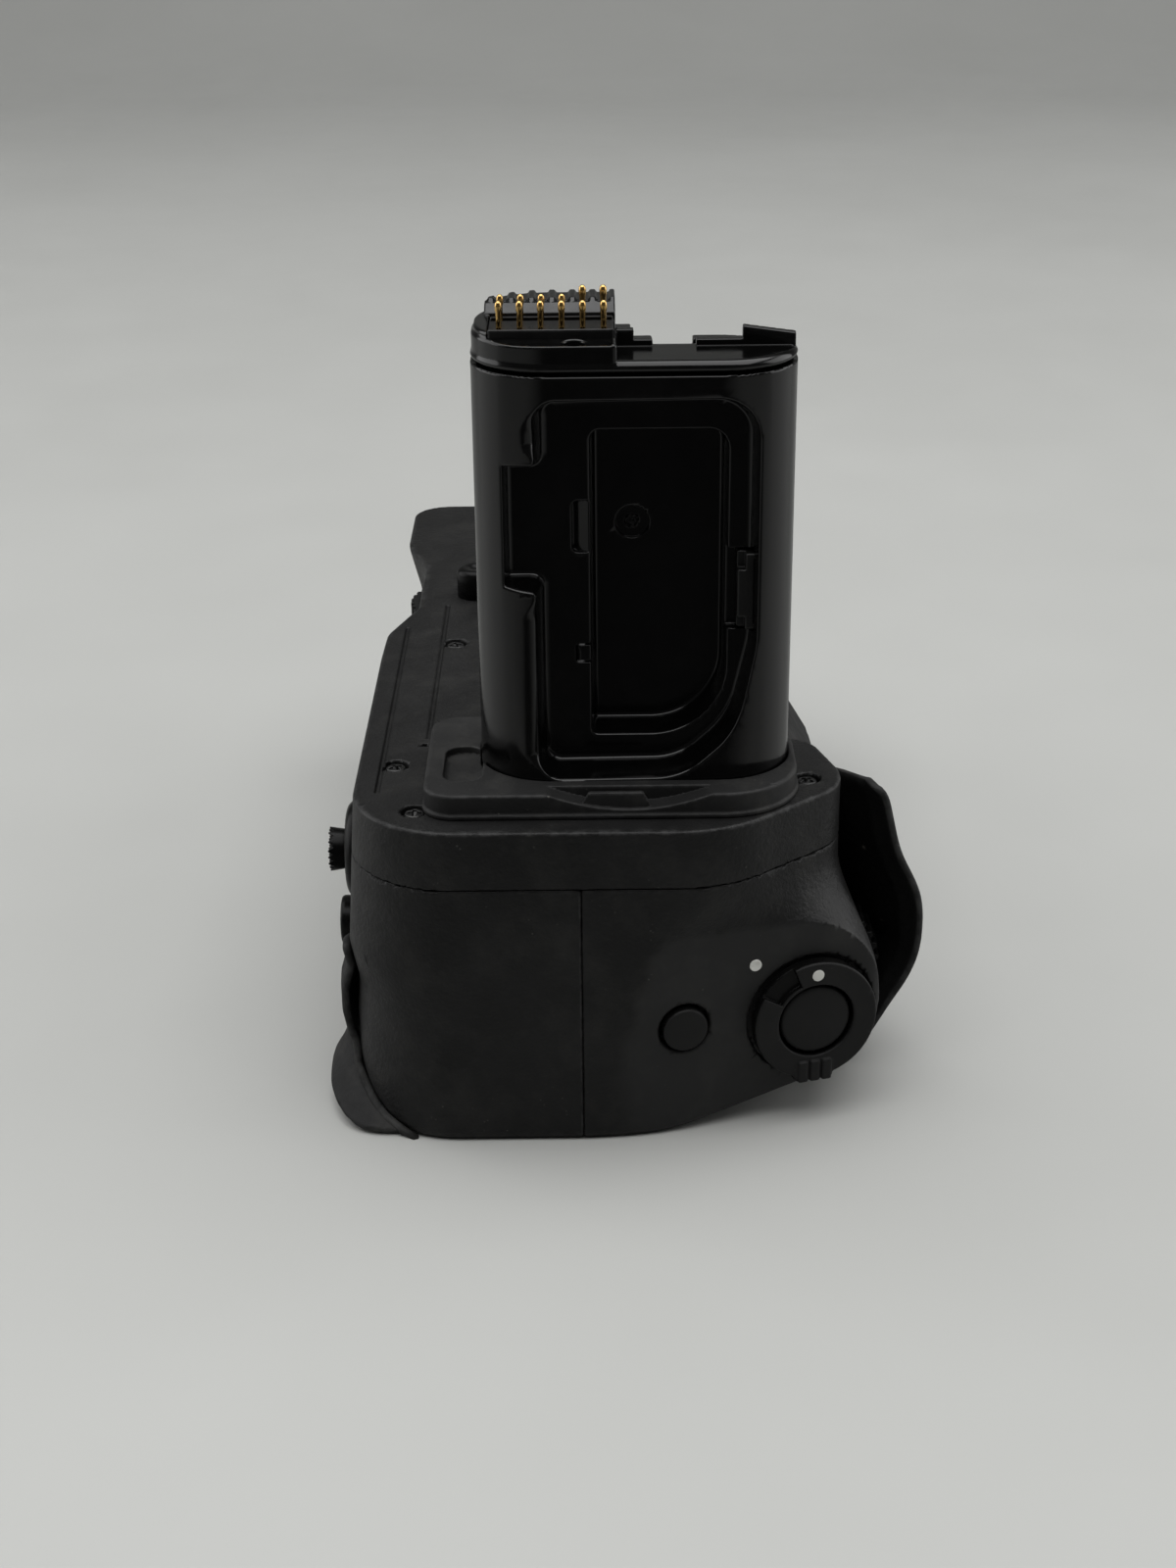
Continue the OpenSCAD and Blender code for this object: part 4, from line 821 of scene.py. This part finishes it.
def function_button(u, v, w):
    r = np.hypot(u, v)
    form = both(both(r - 3.05, w - 0.9 + 0.15 * (r / 3.05) ** 2, 0.45), -3.3 - w)
    flange = np.maximum(r - 4.3, between(-3.3, -2.3, w))
    form = either(form, flange)
    return either(form, np.maximum(r - 1.2, between(-5.9, -3, w)))


dress(solid("function_key", function_button, (-4.3, -4.3, -5.9), (4.3, 4.3, 0.9), 0.14, on_panel(*FUNCTION),
            paint=satin_face_shaded_sides(0.6)),
      "panel_black", "function_button", "function_button")

mark_line = [(0, 1.7), (0.82, 1.7), (0.82, 2.2), (0.76, 2.23), (0.4, 2.23), (0, 2.23)]
dress(lathe("lever_mark", mark_line, on_panel(SHUTTER[0], SHUTTER[1] + 6.8), 32),
      "mark", "lock_ring", "ring_mark")
dimple_line = [(0, -0.5), (0.82, -0.5), (0.82, 0.38), (0.76, 0.42), (0.62, 0.40), (0.35, 0.33), (0, 0.31)]
dress(lathe("index_mark", dimple_line, on_panel(*PANEL_MARK), 32), "mark", "grip_body", "panel_mark")


def boot(u, v, w):
    r = np.hypot(u, v)
    form = both(r - 7.0, w - 32.5, 1.8)
    form = less(form, both(r - 4.2, 31.6 - w, 0.3), 0.5)
    form = less(form, r - 3.9)
    return np.maximum(form, 29.0 - w)


dress(solid("stick_cup", boot, (-7, -7, 29), (7, 7, 32.6), 0.14, on_rear(*STICK)),
      "panel_black", "grip_body", "stick_boot")


def stick_cap(u, v, w):
    teeth = 0.7 * np.abs(np.cos(math.pi * u / 0.95) * np.cos(math.pi * v / 0.95))
    return both(np.hypot(u, v) - 2.7 - 0.15 * (w - 32.3), between(32.3, 34.3 + teeth, w), 0.08)


dress(solid("stick_knob", stick_cap, (-3.1, -3.1, 32.2), (3.1, 3.1, 35.1), 0.09, on_rear(*STICK)),
      "panel_black", "stick", "stick")


def focus_button(u, v, w):
    r = np.hypot(u, v)
    form = both(r - 3.5, w - 34 + 0.2 * (r / 3.5) ** 2, 0.5)
    form = np.maximum(form, 25.6 - w)
    form = either(form, np.maximum(r - 4.3, between(25.6, 26.7, w)))
    return either(form, np.maximum(r - 1.2, between(25, 26, w)))


dress(solid("focus_key", focus_button, (-4.3, -4.3, 25), (4.3, 4.3, 34), 0.15, on_rear(*FOCUS)),
      "panel_black", "focus_button", "focus_button")


def dial(r, count, x0):
    """Ribbed wheel on an axle along the body, with its middle at x0."""
    def form(u, v, w):
        wheel = both(ribbed(u, v, r, count, 0.6), between(x0 - DIAL_HALF, x0 + DIAL_HALF, w), 0.3)
        return less(wheel, np.hypot(u, v) - 0.86)
    return form


for end, (x0, y0, z0), r, count, voxel in (("front", FRONT_DIAL, FRONT_DIAL_R, 26, 0.16),
                                           ("rear", REAR_DIAL, REAR_DIAL_R, 18, 0.14)):
    low, high = (-r, -r, x0 - DIAL_HALF), (r, r, x0 + DIAL_HALF)
    wheel = solid(f"{end}_wheel", dial(r, count, x0), low, high, voxel, along_x(y0, z0))
    dress(wheel, "panel_black", f"{end}_dial", f"{end}_dial")


# Small fittings

def screw(u, v, w):
    r = np.hypot(u, v)
    form = both(r - 1.3, between(43.8, 44.85 - 0.1 * r ** 2, w), 0.2)
    form = either(form, np.maximum(r - 0.9, between(38, 44, w)))
    for a, b in ((u, v), (v, u)):
        slot = block(a, b, -0.95, 0.95, -0.25, 0.25)
        form = less(form, np.maximum(slot, 44.0 + 0.5 * np.abs(a) - w), 0.05)
    return form


screws = [solid(f"screw_{i}", screw, (-1.6, -1.6, 38), (1.6, 1.6, 45), 0.09, upright(*spot, 0.5 + i))
          for i, spot in enumerate(SCREWS)]
dress(joined("plate_screws", screws), "black_steel", "grip_body", "cover_screws")

boss_line = [(0, PLATE), (3.2, PLATE), (3.2, 48.7), (3.12, 49.1), (2.85, 49.4), (2.4, 49.6), (1.2, 49.6),
             (1.0, 49.3), (0, 49.3)]
dress(lathe("plate_boss", boss_line, upright(10, 16.3), 48), "panel_black", "grip_body", "locating_boss")


CATCH_BOX = ((-67.9, -22.9, 67.3), (-64.9, -19.85, 77.3))


def catch(x, y, z):
    form = brick(x, y, z, *CATCH_BOX, 0.3)
    for low_z, high_z in ((75.2, 78), (66, 69.0)):
        form = less(form, brick(x, y, z, (-68.5, -20.9, low_z), (-66.6, -19, high_z), 0.1), 0.15)
    return less(form, brick(x, y, z, (-68.2, -22.2, 68), (-67.65, -21.9, 76.6)), 0.08)


dress(solid("pocket_catch", catch, *CATCH_BOX, 0.12), "inner", "door_catch", "door_catch")


THREAD_PITCH = 1.27
THREAD_DEPTH = 0.6


def helix(x, y, z):
    """Depth of a screw thread round the tripod axis."""
    turn = z / THREAD_PITCH - np.arctan2(y, x) / (2 * math.pi)
    return THREAD_DEPTH * np.clip(2.4 * np.abs(turn - np.round(turn)) - 0.1, 0, 1)


def camera_screw(x, y, z):
    r = np.hypot(x, y)
    thread = both(r - 3.175 + helix(x, y, z), between(44.5, 50, z), 0.5)
    form = either(thread, np.maximum(r - 3, between(31.4, 45.4, z)), 0.1)
    form = either(form, both(r - 6.35, between(40, 41.7, z), 0.2))
    return less(form, np.maximum(np.abs(y) - 0.45, 49.2 - z), 0.1)


dress(solid("camera_screw", camera_screw, (-6.4, -6.4, 31.4), (6.4, 6.4, 50), 0.16),
      "steel", "mounting_screw", "mounting_screw")


def socket(x, y, z):
    r = np.hypot(x, y)
    form = both(r - 6, between(0, 6, z), 0.3)
    form = either(form, np.maximum(r - 8, between(2, 3.2, z)))
    return less(form, r - 3.15 + helix(x, y, z) - 0.5 * (1 - ease(0, 0.7, z)), 0.05)


dress(solid("tripod_socket", socket, (-8, -8, 0), (8, 8, 6), 0.16),
      "steel", "grip_body", "tripod_bush")


DOOR_BOX = ((54.5, -24.2, 6.6), (FAR_X, 20.8, 31.3))
KNOB = (-1.7, 18.95)


def door(x, y, z):
    form = brick(x, y, z, *DOOR_BOX, 0.7)
    form = drilled(form, y, z, KNOB, 7.3, 55.7 - x, 0.3)
    for side in (-18.5, 15.1):
        form = less(form, np.maximum(block(y, z, side - 1.6, side + 1.6, 11, 27, 1.5), 57.1 - x), 0.25)
    return less(form, disc(y, z, *KNOB, 2.06))


dress(solid("bay_door", door, *DOOR_BOX, 0.25), "body", "battery_tray", "tray_door")


def knob(u, v, w):
    form = both(ribbed(u, v, 7.0, 36, 0.25), between(56, 57.5, w), 0.3)
    form = either(form, both(block(u, v, -1.2, 1.2, -6, 6, 0.8), between(57, 58.9, w), 0.4), 0.4)
    return either(form, np.maximum(np.hypot(u, v) - 2, between(53.6, 56.5, w)))


dress(solid("bay_knob", knob, (-7, -7, 53.6), (7, 7, 58.9), 0.16, along_x(*KNOB)),
      "panel_black", "latch_knob", "latch_knob")


def pack_box(x0):
    """Low and high corner of the battery pack that starts at x0."""
    return (x0, -21.7, 9.3), (x0 + 56, 18.3, 29.8)


def cell_pack(x0):
    def form(x, y, z):
        case = brick(x, y, z, *pack_box(x0), 1.4)
        case = less(case, np.maximum(block(x, y, x0 + 8, x0 + 52, -18.5, 15.1, 2), 29.5 - z), 0.15)
        for y0 in (1.3, 6.3, 11.3):
            case = less(case, brick(x, y, z, (x0 - 1, y0, 13.3), (x0 + 1.5, y0 + 2, 25.3), 0.2), 0.2)
        return case
    return form


for end, x0 in (("near", -59.2), ("far", -2.8)):
    pack = solid(f"pack_{end}", cell_pack(x0), *pack_box(x0), 0.45, merge=0.02)
    dress(pack, "pack", "battery_tray", f"{end}_pack")


# Peeling skins

SKIN = 1.1
SKIN_GAP = 0.72
FREE_EDGE = [(-38.4, 42.8), (-39.6, 42.3), (-40.4, 41), (-41, 38.3), (-41.9, 35), (-42.9, 32), (-44.2, 29),
             (-45.3, 26), (-46, 22.6), (-45.8, 19), (-44, 14.1), (-42.1, 10.4), (-40.2, 6.9), (-38.2, 3.6)]
GRIP_LINE = [(-29.3, 40), (-29.3, 35.5), (-39.5, 21), (-39.5, 10.5), (-33.2, 5.4), (-25.6, 3.5)]


def smooth_line(points, count):
    """Points at even steps along a line whose corners are rounded."""
    line = np.array(points, float)
    for _ in range(3):
        cut = np.stack([0.75 * line[:-1] + 0.25 * line[1:], 0.25 * line[:-1] + 0.75 * line[1:]], axis=1)
        line = np.concatenate([line[:1], cut.reshape(-1, line.shape[1]), line[-1:]])
    reach = np.concatenate([[0], np.cumsum(np.linalg.norm(np.diff(line, axis=0), axis=1))])
    steps = np.linspace(0, reach[-1], count)
    return np.stack([np.interp(steps, reach, line[:, k]) for k in range(line.shape[1])], axis=1)


def clear_of(form, points, gap):
    """Moves points that lie closer to a form than gap away from it."""
    flat = points.reshape(-1, 3)
    for _ in range(3):
        here, gradient, _ = slopes(form, flat, 0.05)
        size = np.maximum((gradient ** 2).sum(axis=1), 0.2)
        flat = flat + gradient * (np.clip(gap - here, 0, 2) / size)[:, None]
    return flat.reshape(points.shape)


def make_sheet(name, node_name, middle, away, bead):
    """Closed sheet about a grid of points, with round borders; bead thickens its inner side."""
    down, along = np.gradient(middle, axis=0), np.gradient(middle, axis=1)
    normal = np.cross(along, down)
    normal /= np.linalg.norm(normal, axis=2)[..., None]
    if (normal @ np.array(away)).sum() < 0:
        normal = -normal
    rows, cols = middle.shape[:2]
    out = np.zeros_like(middle)
    out[0] -= down[0]
    out[-1] += down[-1]
    out[:, 0] -= along[:, 0]
    out[:, -1] += along[:, -1]
    loop = [(0, j) for j in range(cols - 1)] + [(i, cols - 1) for i in range(rows - 1)]
    loop += [(rows - 1, j) for j in range(cols - 1, 0, -1)] + [(i, 0) for i in range(rows - 1, 0, -1)]
    rim = np.array([i * cols + j for i, j in loop])
    flat_middle, flat_normal, flat_out = (a.reshape(-1, 3)[rim] for a in (middle, normal, out))
    flat_out /= np.linalg.norm(flat_out, axis=1)[:, None]
    size = rows * cols
    inner = middle - normal * (SKIN / 2 + bead[..., None])
    points = [(middle + normal * SKIN / 2).reshape(-1, 3), inner.reshape(-1, 3)]
    loops = [rim]
    for k, a in enumerate(np.radians([36, 72, 108, 144])):
        points.append(flat_middle + (flat_normal * math.cos(a) + flat_out * math.sin(a)) * SKIN / 2)
        loops.append(2 * size + k * len(rim) + np.arange(len(rim)))
    loops.append(rim + size)
    faces = []
    for i in range(rows - 1):
        for j in range(cols - 1):
            a = i * cols + j
            faces.append([a, a + 1, a + cols + 1, a + cols])
            faces.append([size + a, size + a + cols, size + a + cols + 1, size + a + 1])
    for first, second in zip(loops, loops[1:]):
        for k in range(len(rim)):
            n = (k + 1) % len(rim)
            faces.append([first[k], second[k], second[n], first[n]])
    points = np.concatenate(points)
    corners = points[np.array(faces)]
    volume = (np.cross(corners[:, 0], corners[:, 1]) * corners[:, 2]).sum()
    volume += (np.cross(corners[:, 0], corners[:, 2]) * corners[:, 3]).sum()
    if volume < 0:
        faces = [f[::-1] for f in faces]
    inside = np.zeros(len(points))
    inside[size:2 * size] = 1
    worn = np.zeros(len(points))
    worn[2 * size:] = 0.6
    piece = mesh_object(name, points, faces, marks={"inside": inside, "edge": worn})
    dress(piece, "rubber", "grip_body", node_name)


def make_front_skin():
    """Skin of the hand grip: its near edge has come away and stands out along the free edge."""
    rows, cols = 64, 90
    stations = np.linspace(-61.6, 5, cols)
    free, tight = smooth_line(FREE_EDGE, rows), smooth_line(GRIP_LINE, rows)
    share = np.clip((-44 - stations) / 17.6, 0, 1) ** 1.4
    laid = np.empty((rows, cols, 3))
    laid[..., 0] = stations[None, :]
    laid[..., 1:] = tight[:, None, :]
    laid = onto(lambda x, y, z: hull(x, y, z) - 0.75, laid.reshape(-1, 3), 3.0).reshape(laid.shape)
    laid[..., 0] = stations[None, :]
    middle = laid.copy()
    middle[..., 1:] += (free[:, None, :] - laid[..., 1:]) * share[None, :, None]
    run = np.linspace(0, 62, rows)
    corner = np.maximum(2 - run, 0) + np.maximum(run - 60, 0)
    middle[..., 0] += (2 - np.sqrt(2 ** 2 - corner ** 2))[:, None] * share[None, :]
    ripple = 0.20 * np.sin(0.5 * middle[..., 2] + 0.3 * middle[..., 0]) * share[None, :]
    middle[..., 1] -= ripple * np.sin(np.linspace(0, math.pi, rows))[:, None]
    middle = clear_of(hull, middle, SKIN_GAP)
    from_edge = middle[..., 0] - middle[:, :1, 0]
    fade = np.sin(np.linspace(0, math.pi, rows))[:, None] ** 0.3
    bead = 0.45 * np.exp(-((from_edge - 2.7) / 0.75) ** 2) * fade
    make_sheet("front_skin", "grip_skin", middle, (0, -1, 0), bead)


# Near edge as height, angle round the body's corner and distance off it; swell as height and distance off
THUMB_NEAR = [(0.75, 30, 0.2), (2.5, 50, 0.2), (4.5, 66, 0.4), (6.5, 76, 0.9), (8.4, 80, 1.7),
              (10.2, 82, 2.4), (13.6, 82, 3.0), (17, 82, 3.0), (20, 82, 2.1), (23.2, 82, 1.0)]
THUMB_SWELL = [(0.75, 5.1), (2.6, 5.0), (5, 4.1), (8.35, 2.85), (10.2, 3.05), (13.6, 3.4), (17.4, 3.4),
               (20.5, 2.5), (23.2, 1.2)]


def make_rear_skin():
    """Skin of the thumb rest: it leaves the wall below its upper border and flares out at its foot."""
    rows, cols = 44, 80
    foot, top = 0.75, 23.2
    height = np.linspace(top, foot, rows)
    near, swell = np.array(THUMB_NEAR), np.array(THUMB_SWELL)
    turn = np.interp(height, near[:, 0], near[:, 1])
    near_off = np.interp(height, near[:, 0], near[:, 2])
    far_off = np.interp(height, swell[:, 0], swell[:, 1])
    quarter = CORNER_R * math.pi / 2
    start = CORNER_R * np.radians(turn)
    s = start[:, None] + (quarter + 27 - start[:, None]) * np.linspace(0, 1, cols)[None, :] ** 1.2
    off = near_off[:, None] + (far_off - near_off)[:, None] * ease(0, 7, s - start[:, None])
    off = SKIN_GAP + (off - SKIN_GAP) * (1 - ease(23, 44, s))
    angle = np.minimum(s, quarter) / CORNER_R
    low = top - 10.6 * ease(24, 32, s)
    middle = np.empty((rows, cols, 3))
    middle[..., 0] = CORNER[0] - np.cos(angle) * (CORNER_R + off) + np.maximum(s - quarter, 0)
    middle[..., 1] = CORNER[1] + np.sin(angle) * (CORNER_R + off)
    share = ((height - foot) / (top - foot))[:, None]
    middle[..., 2] = foot + (low - foot) * share + 1.8 * ease(3, 14, s - start[:, None]) * (1 - share)
    middle = clear_of(hull, middle, SKIN_GAP)
    make_sheet("rear_skin", "thumb_skin", middle, (-0.3, 1, 0), np.zeros((rows, cols)))


make_front_skin()
make_rear_skin()


# Floor, light and camera

def make_floor():
    """Pale sweep: a flat table that rises far behind the part; near the part it is near-black for glossy
    rays only, a painted dark reflection in the part's glossy faces.
    """
    flat, rise, high, half = 0.9, 0.6, 1.8, 2.6
    line = [(-1.6, 0.0), (flat, 0.0)]
    line += [(flat + rise * math.sin(a), rise * (1 - math.cos(a))) for a in np.radians(np.arange(6, 91, 6))]
    line.append((flat + rise, high))
    points = [[x, y, z] for x, z in line for y in (-half, half)]
    faces = [[2 * i, 2 * i + 2, 2 * i + 3, 2 * i + 1] for i in range(len(line) - 1)]
    floor = mesh_object("floor", np.array(points) / MM, faces)
    material = bpy.data.materials.new("pale_table")
    material.use_nodes = True
    tree = material.node_tree
    shader = tree.nodes["Principled BSDF"]
    where = node(tree, "ShaderNodeTexCoord").outputs["Object"]
    clouds = ramp(tree, noise(tree, where, 6, 3), 0.3, 0.7)
    tint = mixed(tree, clouds, (0.53, 0.535, 0.515, 1.0), (0.56, 0.565, 0.545, 1.0))
    place = node(tree, "ShaderNodeSeparateXYZ")
    link(tree, where, place.inputs["Vector"])
    aside = node(tree, "ShaderNodeMath", operation="ABSOLUTE")
    link(tree, place.outputs["Y"], aside.inputs[0])
    ahead = ramp(tree, place.outputs["X"], -0.14, -0.18)
    near = times(tree, ahead, ramp(tree, aside.outputs[0], 0.20, 0.05))
    share = ramp(tree, near, 0.0, 1.0, 0.5, 1.0)
    # painted reflection: glossy rays see the table near the part as near-black, so glossy faces mirror a
    # painted dark table
    painted_dark_reflection = times(tree, node(tree, "ShaderNodeLightPath").outputs["Is Glossy Ray"], share)
    tint = mixed(tree, painted_dark_reflection, tint, grey(0.02))
    link(tree, tint, shader.inputs["Base Color"])
    link(tree, ramp(tree, noise(tree, where, 40, 4), 0.3, 0.7, 0.42, 0.5), shader.inputs["Roughness"])
    floor.data.materials.append(material)
    floor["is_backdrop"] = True


def turned(side, up, back, place):
    """Matrix of a lamp or camera that looks against its back axis."""
    return Matrix([[side[i], up[i], back[i], place[i]] for i in range(3)] + [[0, 0, 0, 1]])


def make_light(name, place, target, size, power):
    """Area lamp aimed from a place at a target."""
    lamp = bpy.data.lights.new(name, "AREA")
    lamp.shape = "RECTANGLE"
    lamp.size, lamp.size_y = size
    lamp.energy = power
    thing = bpy.data.objects.new(name, lamp)
    bpy.context.scene.collection.objects.link(thing)
    back = np.array(place, float) - np.array(target, float)
    back /= np.linalg.norm(back)
    side = np.cross([0, 0, 1], back)
    side = side / np.linalg.norm(side) if np.linalg.norm(side) > 1e-6 else np.array([1.0, 0, 0])
    up = np.cross(back, side)
    thing.matrix_world = turned(side, up, back, place)


def make_world():
    """Dim room that is lighter behind the part."""
    world = bpy.data.worlds.new("studio")
    bpy.context.scene.world = world
    world.use_nodes = True
    tree = world.node_tree
    place = node(tree, "ShaderNodeSeparateXYZ")
    link(tree, node(tree, "ShaderNodeTexCoord").outputs["Generated"], place.inputs["Vector"])
    behind = ramp(tree, place.outputs["X"], -0.5, 0.7)
    light = mixed(tree, behind, grey(0.05), (0.36, 0.365, 0.37, 1.0))
    link(tree, light, tree.nodes["Background"].inputs["Color"])


def make_camera():
    """Camera at the photo's angle."""
    pitch, roll = math.radians(24), math.radians(0.6)
    forward = np.array([math.cos(pitch), 0, -math.sin(pitch)])
    level = np.array([0.0, -1, 0])
    above = np.array([math.sin(pitch), 0, math.cos(pitch)])
    right = level * math.cos(roll) - above * math.sin(roll)
    up = above * math.cos(roll) + level * math.sin(roll)
    lens = bpy.data.cameras.new("camera")
    lens.lens = 54
    lens.sensor_width = 36
    lens.clip_start = 0.01
    camera = bpy.data.objects.new("camera", lens)
    bpy.context.scene.collection.objects.link(camera)
    place = (-0.3457, -0.001, 0.170)
    camera.matrix_world = turned(right, up, -forward, place)
    bpy.context.scene.camera = camera


make_floor()
make_world()
make_light("overhead", (-0.1, 0.0, 1.1), (-0.1, 0, 0), (1.3, 1.6), 14)
make_light("left_wall", (0.15, 0.9, 0.4), (-0.03, 0, 0.06), (0.9, 0.8), 3)
make_light("right_wall", (0.15, -0.9, 0.4), (-0.03, 0, 0.06), (0.9, 0.8), 3)
make_camera()

# Finishes of the CAD parts that stay

for entry in frame["record"]["subparts"]:
    slot_name = entry.get("material_slot")
    thing = frame["nodes"].get(entry.get("node") or entry.get("name"))
    if thing and slot_name in PAINT and not thing.hide_render:
        thing.data.materials.clear()
        thing.data.materials.append(PAINT[slot_name])

bpy.context.scene.view_settings.view_transform = "Standard"

low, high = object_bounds()
